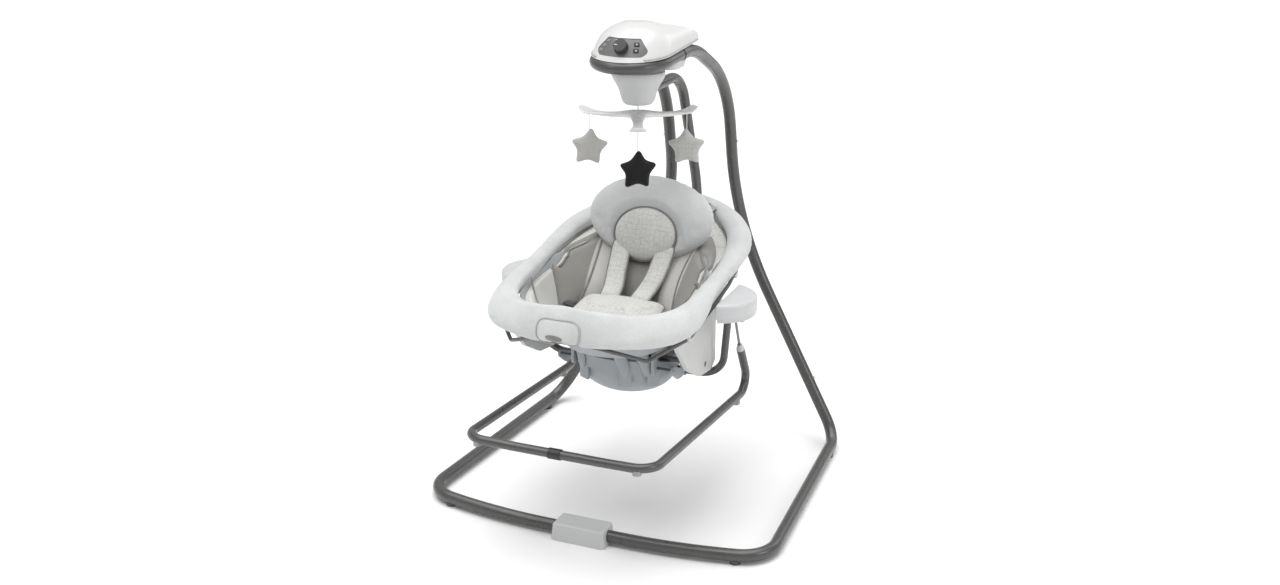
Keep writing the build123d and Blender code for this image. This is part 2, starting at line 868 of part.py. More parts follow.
star_corners = [
    (
        (star_waist if step % 2 else star_tip) * math.cos(math.radians(90 + 36 * step)),
        (star_waist if step % 2 else star_tip) * math.sin(math.radians(90 + 36 * step)),
    )
    for step in range(10)
]
for name, turn in star_turns.items():
    frame = mobile_plane(turn)
    hang = frame.from_local_coords((cord_reach, 0, cup_bottom - cord_gap))
    facing = mobile_plane(0).x_dir
    star_middle = hang - Vector(0, 0, star_drops[name] + star_tip)
    star_plane = Plane(origin=star_middle, x_dir=Vector(0, 0, 1).cross(facing), z_dir=facing)
    with BuildPart() as star:
        with BuildSketch(star_plane.offset(-star_thickness / 2)) as face:
            with BuildLine():
                Polyline(*star_corners, close=True)
            make_face()
            fillet(face.vertices(), 4)
        extrude(amount=star_thickness)
    save(star, name)
    star_top = star.part.bounding_box().max.Z
    with BuildPart() as star_cord:
        with BuildSketch(Plane(origin=hang, z_dir=(0, 0, -1))):
            Circle(cord_radius)
        extrude(amount=hang.Z - star_top - cord_touch)
    save(star_cord, f"{name}_cord")


# ---------------------------------------------------------------- bouncer frame
# The floor loop bends forward under the feet and hooks up behind the seat.
loop_bore = loop_radius - loop_wall
loop_end = (loop_rear_half, ferrule_y, ferrule_z)
loop_hook = (loop_rear_half, loop_rear_y, loop_rear_z)
with BuildLine() as loop_line:
    FilletPolyline(
        (0, loop_front_y, loop_front_z),
        (100, loop_front_y, loop_front_z),
        (loop_front_half, loop_front_y + loop_bow, loop_front_z),
        loop_hook,
        loop_end,
        radius=(900.0, loop_front_radius, loop_rear_radius),
    )
    mirror(about=Plane.YZ)
loop_start = Plane(origin=loop_end, z_dir=direction(loop_end, loop_hook))
with BuildPart() as loop_rod:
    with BuildSketch(loop_start):
        Circle(loop_radius)
    sweep(path=loop_line.wires()[0])
with BuildPart() as loop_tubes:
    with BuildSketch(loop_start):
        Circle(loop_radius)
        Circle(loop_bore, mode=Mode.SUBTRACT)
    sweep(path=loop_line.wires()[0])
save(loop_tubes, "loop_tubes")

with BuildPart() as loop_sleeve:
    with BuildSketch(Plane.YZ):
        with Locations((loop_front_y, loop_front_z)):
            Circle(loop_sleeve_radius)
            Circle(loop_radius, mode=Mode.SUBTRACT)
    extrude(amount=loop_sleeve_length / 2, both=True)
save(loop_sleeve, "loop_sleeve")

loop_foot_places = (
    (loop_front_half - loop_front_radius * 0.7, loop_front_y + 2.0, loop_front_z),
    (loop_rear_half, 60.0, 213.0),
)
with BuildPart() as loop_feet:
    for x, y, z in loop_foot_places:
        with Locations((x, y, z - loop_radius - 3.5)):
            Cylinder(9.0, 10.0, align=(Align.CENTER, Align.CENTER, Align.MIN))
    mirror(about=Plane.YZ)
    add(loop_rod.part, mode=Mode.SUBTRACT)
save(loop_feet, "loop_feet")

hook_axis = direction(loop_hook, loop_end)
wire_foot = Vector(*loop_end) - hook_axis * ferrule_depth
wire_knee = Vector(*loop_end) + hook_axis * (ferrule_length + 6.0)
with BuildPart() as ferrules:
    with Locations(Plane(origin=wire_foot, z_dir=hook_axis)):
        Cylinder(
            loop_bore - 0.05,
            ferrule_depth + 1.0,
            align=(Align.CENTER, Align.CENTER, Align.MIN),
        )
    with Locations(Plane(origin=Vector(*loop_end) + hook_axis * 0.1, z_dir=hook_axis)):
        Cone(loop_radius, 5.5, ferrule_length, align=(Align.CENTER, Align.CENTER, Align.MIN))
    with Locations(Plane(origin=wire_foot - hook_axis, z_dir=hook_axis)):
        Cylinder(
            wire_radius + running_clearance,
            ferrule_depth + ferrule_length + 6.0,
            align=(Align.CENTER, Align.CENTER, Align.MIN),
            mode=Mode.SUBTRACT,
        )
    mirror(about=Plane.YZ)
save(ferrules, "ferrules")

spring_wire = bent_tube(
    (
        tuple(wire_foot),
        tuple(wire_knee),
        (wire_side, bounce_y, bounce_z),
        (wire_end, bounce_y, bounce_z),
    ),
    (30.0, 7.0),
    wire_radius,
)
with BuildPart() as spring_wires:
    add(spring_wire.part)
    mirror(about=Plane.YZ)
save(spring_wires, "spring_wires")

# The hoop runs from pod to pod through the cross channel of the dock.
hoop_top = (hoop_top_half, recline_y, hoop_top_z)
hoop_corner = (hoop_low_half, hoop_low_y, hoop_low_z)


def hoop_form(radius, bore=0.0):
    """Hoop of the bouncer, hollow or as a solid to cut with."""
    with BuildPart() as hoop:
        with BuildLine() as centre_line:
            FilletPolyline((0, hoop_low_y, hoop_low_z), hoop_corner, hoop_top, radius=(hoop_bend,))
            mirror(about=Plane.YZ)
        with BuildSketch(Plane(origin=hoop_top, z_dir=direction(hoop_top, hoop_corner))):
            Circle(radius)
            if bore > 0:
                Circle(bore, mode=Mode.SUBTRACT)
        sweep(path=centre_line.wires()[0])
    return hoop


hoop_tube = hoop_form(hoop_radius, hoop_radius - loop_wall)
save(hoop_tube, "hoop_tube")
hoop_solid = hoop_form(hoop_radius).part

with BuildPart() as pod:
    with BuildSketch(Plane.XY.offset(pod_seam_z)) as pod_plan:
        with Locations(pod_middle):
            Circle(pod_radius)
        with Locations((pod_inner_half - pod_radius, pod_middle[1])):
            Rectangle(2 * pod_radius, 4 * pod_radius, mode=Mode.SUBTRACT)
    extrude(amount=pod_top_z - pod_seam_z)
    fillet(pod.faces().sort_by(Axis.Z)[-1].edges().sort_by(Axis.X)[-1], 9)
    with BuildSketch(Plane.XY.offset(pod_bottom_z)):
        add(pod_plan.sketch)
        offset(amount=-2.2, mode=Mode.REPLACE)
    extrude(amount=pod_seam_z - pod_bottom_z)
    with Locations((ear_inner_half, recline_y, recline_z)):
        Cylinder(
            ear_radius,
            pod_inner_half + 6.0 - ear_inner_half,
            rotation=(0, 90, 0),
            align=(Align.CENTER, Align.CENTER, Align.MIN),
        )
    # Lug that the spring wire hooks into
    with BuildSketch(Plane.YZ.offset(lug_half)):
        with Locations((bounce_y, bounce_z)):
            Circle(8.0)
        with Locations((bounce_y, bounce_z + 6.0)):
            Rectangle(16.0, 12.0)
    extrude(amount=10.0)
    with Locations((wire_side, bounce_y, bounce_z)):
        Cylinder(
            wire_radius + running_clearance,
            60.0,
            rotation=(0, 90, 0),
            align=(Align.CENTER, Align.CENTER, Align.MIN),
            mode=Mode.SUBTRACT,
        )
    add(hoop_solid, mode=Mode.SUBTRACT)
    with Locations((ear_inner_half - 2.0, recline_y, recline_z)):
        Cylinder(
            recline_pin_radius + running_clearance,
            19.0,
            rotation=(0, 90, 0),
            align=(Align.CENTER, Align.CENTER, Align.MIN),
            mode=Mode.SUBTRACT,
        )
save(pod, "pod_right")
save_mirrored(pod, "pod_left")

# The carrier drops over the dock: tray, skirt with three lobes, hoop saddles and latch cheeks.
dock_lip_z = dock_top_z + dock_seat_gap
bar_reach = math.hypot(bar_y - recline_y, bar_z - recline_z)
bar_angle = math.degrees(math.atan2(bar_z - recline_z, bar_y - recline_y))
slot_angles = (math.radians(bar_angle), math.radians(bar_angle - recline_travel))
slot_wedge = [
    (3 * bar_reach * math.cos(angle), 3 * bar_reach * math.sin(angle)) for angle in slot_angles
]
slot_ends = [
    (recline_y + bar_reach * math.cos(angle), recline_z + bar_reach * math.sin(angle))
    for angle in slot_angles
]
with BuildPart() as carrier:
    with BuildSketch(Plane.XY.offset(dock_lip_z)):
        with Locations((0, dock_middle_y)):
            Ellipse(tray_half, tray_depth)
    extrude(amount=tray_rim_z - dock_lip_z)
    with BuildSketch(Plane.XY.offset(dock_lip_z + tray_thickness)):
        with Locations((0, dock_middle_y)):
            Ellipse(tray_half - tray_wall, tray_depth - tray_wall)
    extrude(amount=60, mode=Mode.SUBTRACT)
    # Three lobes that hang over the front of the dock
    with BuildSketch(Plane.XY.offset(dock_lip_z - lobe_drop)):
        with Locations(*lobe_places):
            Circle(lobe_radius)
        with Locations((0, dock_middle_y)):
            Ellipse(tray_half, tray_depth, mode=Mode.INTERSECT)
            Ellipse(dock_half + lobe_gap, dock_depth + lobe_gap, mode=Mode.SUBTRACT)
    extrude(amount=lobe_drop)
    # Saddles that hold the hoop outside the dock
    for side in (-1, 1):
        with BuildSketch(Plane.YZ.offset(side * saddle_half - saddle_width / 2)):
            with Locations((hoop_low_y, hoop_low_z)):
                Circle(hoop_radius + 4.0)
            with Locations((hoop_low_y, (hoop_low_z + tray_rim_z) / 2)):
                Rectangle(2 * hoop_radius + 8.0, tray_rim_z - hoop_low_z)
        extrude(amount=saddle_width)
    # Cheeks that guide the recline bar
    for side in (-1, 1):
        with BuildSketch(Plane.YZ.offset(side * cheek_half - cheek_width / 2)):
            with Locations(((bar_y + latch_y) / 2, (dock_lip_z + 370.0) / 2)):
                RectangleRounded(76.0, 370.0 - dock_lip_z, 8.0)
        extrude(amount=cheek_width)
    with BuildSketch(Plane.YZ.offset(-tray_half)):
        with Locations((recline_y, recline_z)):
            Circle(bar_reach + bar_radius + bar_play)
            Circle(bar_reach - bar_radius - bar_play, mode=Mode.SUBTRACT)
            Polygon((0, 0), *slot_wedge, align=None, mode=Mode.INTERSECT)
        with Locations(*slot_ends):
            Circle(bar_radius + bar_play)
    extrude(amount=2 * tray_half, mode=Mode.SUBTRACT)
    with Locations((0, latch_y, latch_z)):
        Cylinder(
            latch_rod_radius + running_clearance,
            2 * tray_half + 20.0,
            rotation=(0, 90, 0),
            mode=Mode.SUBTRACT,
        )
    add(hoop_solid, mode=Mode.SUBTRACT)
save(carrier, "carrier")

with BuildPart() as latch_rod:
    with Locations((0, latch_y, latch_z)):
        Cylinder(
            latch_rod_radius, 2 * (latch_plate_half + latch_plate_thickness), rotation=(0, 90, 0)
        )
save(latch_rod, "latch_rod")

with BuildPart() as latch_plates:
    with BuildSketch(Plane.YZ.offset(latch_plate_half)):
        with Locations((latch_y, latch_z)):
            Circle(9.0)
        with Locations((latch_y + 30.0, latch_z - 18.0)):
            Circle(12.0)
        with Locations((latch_y + 52.0, latch_z - 24.0)):
            Circle(9.0)
        make_hull()
        with Locations((latch_y, latch_z)):
            Circle(latch_rod_radius, mode=Mode.SUBTRACT)
    extrude(amount=latch_plate_thickness)
    mirror(about=Plane.YZ)
save(latch_plates, "latch_plates")

with BuildPart() as pivot_pins:
    with Locations((bracket_inner_half - 4.5, recline_y, recline_z)):
        Cylinder(
            8.0, 4.2, rotation=(0, 90, 0), align=(Align.CENTER, Align.CENTER, Align.MIN)
        )
        Cylinder(
            recline_pin_radius,
            ear_inner_half + 16.0 - bracket_inner_half,
            rotation=(0, 90, 0),
            align=(Align.CENTER, Align.CENTER, Align.MIN),
        )
    mirror(about=Plane.YZ)
save(pivot_pins, "pivot_pins")

with BuildPart() as recline_bar:
    with Locations((0, bar_y, bar_z)):
        Cylinder(bar_radius, 2 * (bracket_inner_half + bracket_thickness), rotation=(0, 90, 0))
save(recline_bar, "recline_bar")

# ---------------------------------------------------------------- seat
with BuildPart() as trim_block:
    with BuildSketch(Plane.YZ):
        with BuildLine():
            top_edge = Spline(*bucket_edge)
            Polyline(top_edge @ 1, (300.0, 800.0), (-420.0, 800.0), top_edge @ 0)
        make_face()
    extrude(amount=260, both=True)
trim = trim_block.part


# The rim cushion is lofted through oval sections; the bucket is trimmed where it meets it.
rim_middles = [
    (Vector(*inner) + Vector(*outer)) * 0.5 for inner, outer, thickness in rim_stations
]


def rim_form(grow):
    """Rim cushion as a solid, or the same cushion grown to cut its clearance."""
    with BuildPart() as form:
        for index, (inner, outer, thickness) in enumerate(rim_stations):
            before = rim_middles[max(index - 1, 0)]
            after = rim_middles[min(index + 1, len(rim_middles) - 1)]
            outward = Vector(*outer) - Vector(*inner)
            heading = after - before
            if index in (0, len(rim_stations) - 1):
                heading = Vector(1, 0, 0) if index == 0 else Vector(-1, 0, 0)
            heading = heading - outward.normalized() * heading.dot(outward.normalized())
            across_half = outward.length / 2 + grow
            oval = [
                (across_half * math.cos(turn), (thickness + grow) * math.sin(turn))
                for turn in (math.radians(90 + 30 * step) for step in range(12))
            ]
            with BuildSketch(Plane(origin=rim_middles[index], x_dir=outward, z_dir=heading)):
                with BuildLine():
                    Spline(*oval, periodic=True)
                make_face()
        loft()
        mirror(about=Plane.YZ)
    return form


rim_pad = rim_form(0)
save(rim_pad, "rim_pad")
rim_clear = rim_form(rim_gap).part


def bucket(grow):
    """Seat bucket as a solid, grown outward from the surface the child sits on."""
    with BuildPart() as form:
        for level, (height, middle, half, length, slope) in enumerate(bucket_sections):
            sink = grow if level == 0 else 0.0
            section = Plane(
                origin=(0, middle, height - sink), x_dir=(1, 0, 0), z_dir=(0, -slope, 1)
            )
            with BuildSketch(section):
                Ellipse(half + grow, length + grow)
        loft()
    return form.part


shell_inner = liner_thickness + shell_gap
shell_outer = shell_inner + shell_wall
with BuildPart() as seat_shell:
    add(bucket(shell_outer))
    add(trim, mode=Mode.SUBTRACT)
    add(bucket(shell_inner), mode=Mode.SUBTRACT)
    add(rim_clear, mode=Mode.SUBTRACT)
    add(seat_shell.solids().sort_by(SortBy.VOLUME)[-1], mode=Mode.REPLACE)
save(seat_shell, "seat_shell")

with BuildPart() as seat_liner:
    add(bucket(liner_thickness))
    add(trim, mode=Mode.SUBTRACT)
    add(bucket(0), mode=Mode.SUBTRACT)
    add(rim_clear, mode=Mode.SUBTRACT)
    add(seat_liner.solids().sort_by(SortBy.VOLUME)[-1], mode=Mode.REPLACE)
save(seat_liner, "seat_liner")

# Bent wire that runs round the bucket just inside the low edge of the rim cushion
with BuildPart() as rim_frame:
    with BuildLine() as centre_line:
        FilletPolyline(*frame_wire_path, radius=frame_wire_bends)
        mirror(about=Plane.YZ)
    with BuildSketch(Plane(origin=frame_wire_path[0], z_dir=(1, 0, 0))):
        Circle(frame_wire_radius)
    sweep(path=centre_line.wires()[0])
save(rim_frame, "rim_frame")
wire_groove = bent_tube(frame_wire_path, frame_wire_bends, frame_wire_radius + 0.1).part

clip_places = ((-232.0, 459.0, 213.0), (50.0, 506.0, 209.0))
with BuildPart() as side_bracket:
    with BuildSketch(Plane.YZ.offset(bracket_inner_half)) as bracket_face:
        Polygon(*bracket_outline, align=None)
        fillet(bracket_face.vertices(), 9)
    extrude(amount=bracket_thickness)
    for y, z, reach in clip_places:
        with Locations((bracket_inner_half + 1.0, y, z)):
            Cylinder(
                10.0,
                reach - bracket_inner_half,
                rotation=(0, 90, 0),
                align=(Align.CENTER, Align.CENTER, Align.MIN),
            )
    for y, z in ((-120.0, 462.0), (0.0, 478.0)):
        with Locations((130.0, y, z)):
            Cylinder(
                8.0, 52.0, rotation=(0, 90, 0), align=(Align.CENTER, Align.CENTER, Align.MIN)
            )
    add(bucket(shell_outer + 0.1), mode=Mode.SUBTRACT)
    add(wire_groove, mode=Mode.SUBTRACT)
    with Locations((bracket_inner_half, bar_y, bar_z)):
        Cylinder(bar_radius + 0.05, 60.0, rotation=(0, 90, 0), mode=Mode.SUBTRACT)
    with Locations((bracket_inner_half, recline_y, recline_z)):
        Cylinder(recline_pin_radius + 0.05, 60.0, rotation=(0, 90, 0), mode=Mode.SUBTRACT)
save(side_bracket, "side_bracket_right")
save_mirrored(side_bracket, "side_bracket_left")

# ---------------------------------------------------------------- soft goods in the seat
hollow_clear = bucket(-soft_gap)
with BuildPart() as liner_clear:
    add(bucket(liner_thickness + 40.0))
    add(trim, mode=Mode.SUBTRACT)
    add(hollow_clear, mode=Mode.SUBTRACT)


def leaning(middle, lean):
    """Plane of a cushion that faces the child, leaning back by the given angle."""
    tip = math.radians(lean)
    return Plane(
        origin=(0, middle[0], middle[1]), x_dir=(1, 0, 0), z_dir=(0, -math.cos(tip), math.sin(tip))
    )


def cushion(base, half, rise, thickness):
    """Oval cushion with rolled edges."""
    with BuildPart() as pad:
        for share, depth in ((0.80, -0.5), (0.97, -0.28), (1.0, 0.0), (0.95, 0.3), (0.72, 0.5)):
            with BuildSketch(base.offset(depth * thickness)):
                Ellipse(half - rise * (1 - share), rise * share)
        loft()
    return pad


pillow_plane = leaning(pillow_middle, back_lean)
head_pillow = cushion(pillow_plane, pillow_half, pillow_rise, pillow_thickness)
with head_pillow:
    add(liner_clear.part, mode=Mode.SUBTRACT)
save(head_pillow, "head_pillow")

cushion_plane = pillow_plane.offset((pillow_thickness + cushion_thickness) / 2 + 2 * soft_gap)
cushion_plane.origin = cushion_plane.origin - cushion_plane.y_dir * cushion_drop
head_cushion = cushion(cushion_plane, cushion_half, cushion_rise, cushion_thickness)
with head_cushion:
    add(liner_clear.part, mode=Mode.SUBTRACT)
save(head_cushion, "head_cushion")

with BuildPart() as strap_covers:
    with BuildSketch(leaning(strap_middle, strap_lean).offset(-strap_thickness / 2)):
        for side in (-1, 1):
            with Locations((side * strap_half, 0)):
                RectangleRounded(strap_width, strap_length, 9)
    extrude(amount=strap_thickness)
    add(hollow_clear, mode=Mode.INTERSECT)
    add(head_cushion.part, mode=Mode.SUBTRACT)
save(strap_covers, "strap_covers")

with BuildPart() as waist_pad:
    with BuildSketch(Plane.XY.offset(waist_z)):
        with Locations((0, waist_y)):
            RectangleRounded(2 * waist_half, waist_depth, 22)
    extrude(amount=waist_thickness)
    fillet(waist_pad.faces().sort_by(Axis.Z)[-1].edges(), 5)
    # Tongue that runs down between the legs to the seat
    with BuildSketch(Plane.YZ):
        Polygon(
            (waist_y - waist_depth / 2 + 16.0, waist_z + 1.0),
            (waist_y - waist_depth / 2 + 16.0, waist_z + waist_thickness - 1.0),
            (waist_y - waist_depth / 2, waist_z + waist_thickness - 3.0),
            (tongue_foot[0], tongue_foot[1] + 10.0),
            (tongue_foot[0], tongue_foot[1] - 30.0),
            (tongue_foot[0] + 16.0, tongue_foot[1] - 30.0),
            (tongue_foot[0] + 16.0, tongue_foot[1] - 2.0),
            align=None,
        )
    extrude(amount=tongue_half, both=True)
    add(hollow_clear, mode=Mode.INTERSECT)
save(waist_pad, "waist_pad")

buckle_start = waist_half + soft_gap
with BuildPart() as waist_buckles:
    with Locations((buckle_start + buckle_length / 2, waist_y + 6.0, waist_z + waist_thickness / 2)):
        Box(buckle_length, buckle_width, buckle_thickness)
    fillet(waist_buckles.edges().filter_by(Axis.Z), 4)
    with Locations((buckle_start + buckle_length, waist_y + 6.0, waist_z + waist_thickness / 2)):
        Box(80.0, buckle_width - 8.0, 3.0, align=(Align.MIN, Align.CENTER, Align.CENTER))
    mirror(about=Plane.YZ)
    add(hollow_clear, mode=Mode.INTERSECT)
save(waist_buckles, "waist_buckles")
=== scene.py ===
import json
import math

import bpy
import bmesh
import numpy as np
from bpy.props import FloatProperty, FloatVectorProperty, PointerProperty
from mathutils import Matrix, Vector
from mathutils.bvhtree import BVHTree


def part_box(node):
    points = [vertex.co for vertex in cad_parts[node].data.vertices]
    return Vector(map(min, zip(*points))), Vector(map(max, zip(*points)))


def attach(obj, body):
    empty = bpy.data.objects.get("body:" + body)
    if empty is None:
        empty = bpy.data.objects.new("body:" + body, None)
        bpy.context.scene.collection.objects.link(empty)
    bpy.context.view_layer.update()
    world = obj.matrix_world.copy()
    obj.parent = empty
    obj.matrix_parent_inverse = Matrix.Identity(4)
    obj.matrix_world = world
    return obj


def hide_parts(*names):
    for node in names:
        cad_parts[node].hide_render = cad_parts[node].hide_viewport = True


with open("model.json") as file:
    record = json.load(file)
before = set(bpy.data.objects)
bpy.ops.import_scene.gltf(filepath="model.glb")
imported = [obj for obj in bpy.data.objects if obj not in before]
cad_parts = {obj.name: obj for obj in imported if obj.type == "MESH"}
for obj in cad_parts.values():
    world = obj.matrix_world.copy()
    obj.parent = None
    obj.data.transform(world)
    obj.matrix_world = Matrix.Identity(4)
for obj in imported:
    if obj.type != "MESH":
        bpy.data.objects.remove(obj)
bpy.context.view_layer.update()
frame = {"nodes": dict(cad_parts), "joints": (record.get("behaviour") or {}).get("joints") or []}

bl_info = {
    "name": "Baby swing",
    "version": (1, 0, 0),
    "blender": (4, 5, 0),
    "location": "View3D > Sidebar > Swing",
    "description": "Sews, upholsters and finishes a baby swing around its packed frame",
    "category": "Object",
}

NODES = frame["nodes"]
STAR_FACING = math.radians(-67.3)


# ------------------------------------------------------------------ settings
def colour_setting(name, description, default):
    return FloatVectorProperty(
        name=name, description=description, default=default, size=3, min=0, max=1, subtype="COLOR"
    )


def length_setting(name, description, default):
    return FloatProperty(
        name=name, description=description, default=default, min=0, unit="LENGTH", precision=4
    )


class SwingColours(bpy.types.PropertyGroup):
    """Colours of the finishes."""

    tube: colour_setting("Tube paint", "Powder coat of the bent tubes", (0.082, 0.081, 0.079))
    wire: colour_setting("Wire paint", "Paint of the seat wires", (0.10, 0.10, 0.10))
    white: colour_setting("White moulding", "Head cover and mobile", (0.69, 0.685, 0.68))
    pale: colour_setting("Pale moulding", "Head base, cone, foot pad and pods", (0.55, 0.555, 0.56))
    panel: colour_setting("Control panel", "Panel face", (0.145, 0.145, 0.148))
    dark: colour_setting("Dark moulding", "Knob, buttons and buckles", (0.024, 0.024, 0.026))
    blue_grey: colour_setting("Blue grey moulding", "Dock, carrier and shell", (0.365, 0.385, 0.40))
    bracket: colour_setting("Bracket moulding", "Side brackets", (0.55, 0.555, 0.54))
    velour: colour_setting("Velour", "Rim cushion and head pillow", (0.60, 0.61, 0.608))
    taupe: colour_setting("Taupe cloth", "Seat panels", (0.30, 0.292, 0.272))
    wing: colour_setting("Light taupe cloth", "Bolsters and back edges", (0.60, 0.595, 0.57))
    cream: colour_setting("Cream ground", "Ground of the printed cloth", (0.62, 0.62, 0.60))
    ink: colour_setting("Print ink", "Lines of the printed cloth", (0.40, 0.40, 0.38))
    piping: colour_setting("Piping", "Sewn piping cord", (0.25, 0.245, 0.235))
    grey_plush: colour_setting("Grey plush", "First star", (0.47, 0.465, 0.445))
    black_plush: colour_setting("Black plush", "Second star", (0.005, 0.005, 0.005))


class SwingSewing(bpy.types.PropertyGroup):
    """Sizes of the sewn parts."""

    piping: length_setting("Piping radius", "Radius of the sewn piping", 0.0021)
    voxel: length_setting("Cloth cell", "Cell size of the remeshed cushions", 0.005)
    print_repeat: length_setting("Print repeat", "Width of one cell of the print", 0.0105)


class SwingStage(bpy.types.PropertyGroup):
    """Stage for the finished swing."""

    floor: colour_setting("Floor", "Floor colour", (0.90, 0.90, 0.90))
    camera_at: FloatVectorProperty(
        name="Camera", description="Where the camera stands", default=(1.190, -2.821, 1.534),
        subtype="TRANSLATION",
    )
    camera_pitch: FloatProperty(
        name="Pitch", description="How far the camera looks down", default=0.340, subtype="ANGLE"
    )
    camera_turn: FloatProperty(
        name="Turn", description="How far the camera turns to the left", default=0.397, subtype="ANGLE"
    )
    focal_length: FloatProperty(name="Lens", description="Focal length", default=42.19, unit="CAMERA")


# ------------------------------------------------------------------ finishes
class Finish:
    """One node-based material under construction."""

    def __init__(self, name, colour, roughness, **sockets):
        self.material = bpy.data.materials.new(name)
        self.material.use_nodes = True
        self.tree = self.material.node_tree
        self.surface = self.tree.nodes["Principled BSDF"]
        self.colour = (*colour, 1)
        self.surface.inputs["Base Color"].default_value = self.colour
        self.surface.inputs["Roughness"].default_value = roughness
        for socket, value in sockets.items():
            self.surface.inputs[socket.replace("_", " ")].default_value = value
        self.place = self.tree.nodes.new("ShaderNodeTexCoord").outputs["Object"]

    def node(self, kind, links=(), **values):
        made = self.tree.nodes.new(kind)
        for key, value in values.items():
            if key in made.inputs:
                made.inputs[key].default_value = value
            else:
                setattr(made, key, value)
        for socket, source in links:
            self.tree.links.new(source, made.inputs[socket])
        return made

    def noise(self, scale, detail=2.0):
        return self.node(
            "ShaderNodeTexNoise", [("Vector", self.place)], Scale=scale, Detail=detail
        ).outputs["Fac"]

    def ramp(self, source, low, high, start, end):
        made = self.node("ShaderNodeMapRange", [("Value", source)])
        for socket, value in (("From Min", low), ("From Max", high), ("To Min", start), ("To Max", end)):
            made.inputs[socket].default_value = value
        return made.outputs["Result"]

    def blend(self, share, first, second):
        made = self.node("ShaderNodeMix", data_type="RGBA")
        self.tree.links.new(share, made.inputs["Factor"])
        for socket, value in (("A", first), ("B", second)):
            target = next(i for i in made.inputs if i.name == socket and i.type == "RGBA")
            if isinstance(value, tuple):
                target.default_value = value
            else:
                self.tree.links.new(value, target)
        return next(o for o in made.outputs if o.type == "RGBA")

    def maths(self, operation, first, second):
        made = self.node("ShaderNodeMath", operation=operation)
        for index, value in enumerate((first, second)):
            if isinstance(value, (int, float)):
                made.inputs[index].default_value = value
            else:
                self.tree.links.new(value, made.inputs[index])
        return made.outputs[0]

    def tone(self, scale, spread):
        """Slow change of tone over the surface."""
        dark = tuple(channel * (1 - spread) for channel in self.colour[:3]) + (1,)
        light = tuple(min(channel * (1 + spread), 1) for channel in self.colour[:3]) + (1,)
        return self.blend(self.ramp(self.noise(scale, 4.0), 0.35, 0.65, 0.0, 1.0), dark, light)

    def set(self, socket, source):
        self.tree.links.new(source, self.surface.inputs[socket])

    def raise_by(self, height, strength, distance):
        bump = self.node("ShaderNodeBump", [("Height", height)], Strength=strength, Distance=distance)
        self.set("Normal", bump.outputs["Normal"])
        return self.material


def powder_coat(name, colour, roughness=0.30):
    """Painted tube: orange peel, slight gloss changes and lighter worn spots."""
    finish = Finish(name, colour, roughness, Metallic=0.25, Coat_Weight=0.20, Coat_Roughness=0.25)
    wear = finish.ramp(finish.noise(240.0, 6.0), 0.70, 0.78, 0.0, 0.25)
    worn = tuple(min(channel * 1.9, 1) for channel in colour) + (1,)
    finish.set("Base Color", finish.blend(wear, finish.tone(9.0, 0.06), worn))
    finish.set("Roughness", finish.ramp(finish.noise(35.0), 0.3, 0.7, roughness - 0.05, roughness + 0.07))
    return finish.raise_by(finish.noise(900.0), 0.10, 0.0004)


def moulded(name, colour, roughness, grain=0.12, coat=0.0):
    """Injection-moulded plastic with a spark texture and faint flow marks."""
    finish = Finish(name, colour, roughness, Coat_Weight=coat, Coat_Roughness=0.12)
    finish.set("Base Color", finish.tone(14.0, 0.018))
    gloss = finish.noise(50.0, 3.0)
    finish.set("Roughness", finish.ramp(gloss, 0.3, 0.7, roughness - 0.03, roughness + 0.05))
    return finish.raise_by(finish.noise(1500.0, 1.0), grain, 0.0003)


def bare_steel(name, colour, roughness=0.28):
    finish = Finish(name, colour, roughness, Metallic=1.0)
    finish.set("Base Color", finish.tone(60.0, 0.05))
    stretched = finish.node(
        "ShaderNodeMapping", [("Vector", finish.place)], Scale=(40.0, 40.0, 1400.0)
    ).outputs["Vector"]
    lines = finish.node("ShaderNodeTexNoise", [("Vector", stretched)], Scale=1.0, Detail=1.0)
    return finish.raise_by(lines.outputs["Fac"], 0.15, 0.0002)


def rubber(name, colour):
    finish = Finish(name, colour, 0.82)
    finish.set("Base Color", finish.tone(80.0, 0.12))
    return finish.raise_by(finish.noise(1200.0), 0.25, 0.0004)


def weave_height(finish, pitch):
    """Over and under of a plain weave."""
    bands = []
    for direction in ("X", "Y", "Z"):
        wave = finish.node(
            "ShaderNodeTexWave", [("Vector", finish.place)], wave_type="BANDS",
            bands_direction=direction, Scale=math.pi / (10 * pitch), Distortion=1.2,
        )
        wave.inputs["Detail"].default_value = 1.0
        wave.inputs["Detail Scale"].default_value = 3.0
        bands.append(wave.outputs["Fac"])
    return finish.maths("ADD", finish.maths("MULTIPLY", bands[0], bands[1]), bands[2])


def woven(name, colour):
    finish = Finish(name, colour, 0.9, Sheen_Weight=0.25, Sheen_Roughness=0.5)
    thread = weave_height(finish, 0.0013)
    # Painted shade: the colour darkens where the weave's height is low, in the hollows between the threads.
    dark = tuple(channel * 0.86 for channel in colour) + (1,)
    painted_hollow_shade = finish.ramp(thread, 0.2, 1.4, 0.0, 1.0)
    finish.set("Base Color", finish.blend(painted_hollow_shade, dark, finish.tone(22.0, 0.05)))
    return finish.raise_by(thread, 0.35, 0.0006)


def velour(name, colour, sheen=0.45):
    """Short brushed pile: broad strokes of lighter and darker nap over fine fibre."""
    finish = Finish(name, colour, 0.95, Sheen_Weight=sheen, Sheen_Roughness=0.35)
    finish.surface.inputs["Sheen Tint"].default_value = (0.95, 0.96, 1.0, 1)
    nap = finish.maths("ADD", finish.noise(16.0, 5.0), finish.maths("MULTIPLY", finish.noise(220.0), 0.45))
    dark = tuple(channel * 0.90 for channel in colour) + (1,)
    light = tuple(min(channel * 1.04, 1) for channel in colour) + (1,)
    finish.set("Base Color", finish.blend(finish.ramp(nap, 0.50, 0.95, 0.0, 1.0), dark, light))
    fibre = finish.maths("ADD", finish.noise(1100.0, 1.0), finish.maths("MULTIPLY", finish.noise(60.0), 1.6))
    return finish.raise_by(fibre, 0.30, 0.0011)


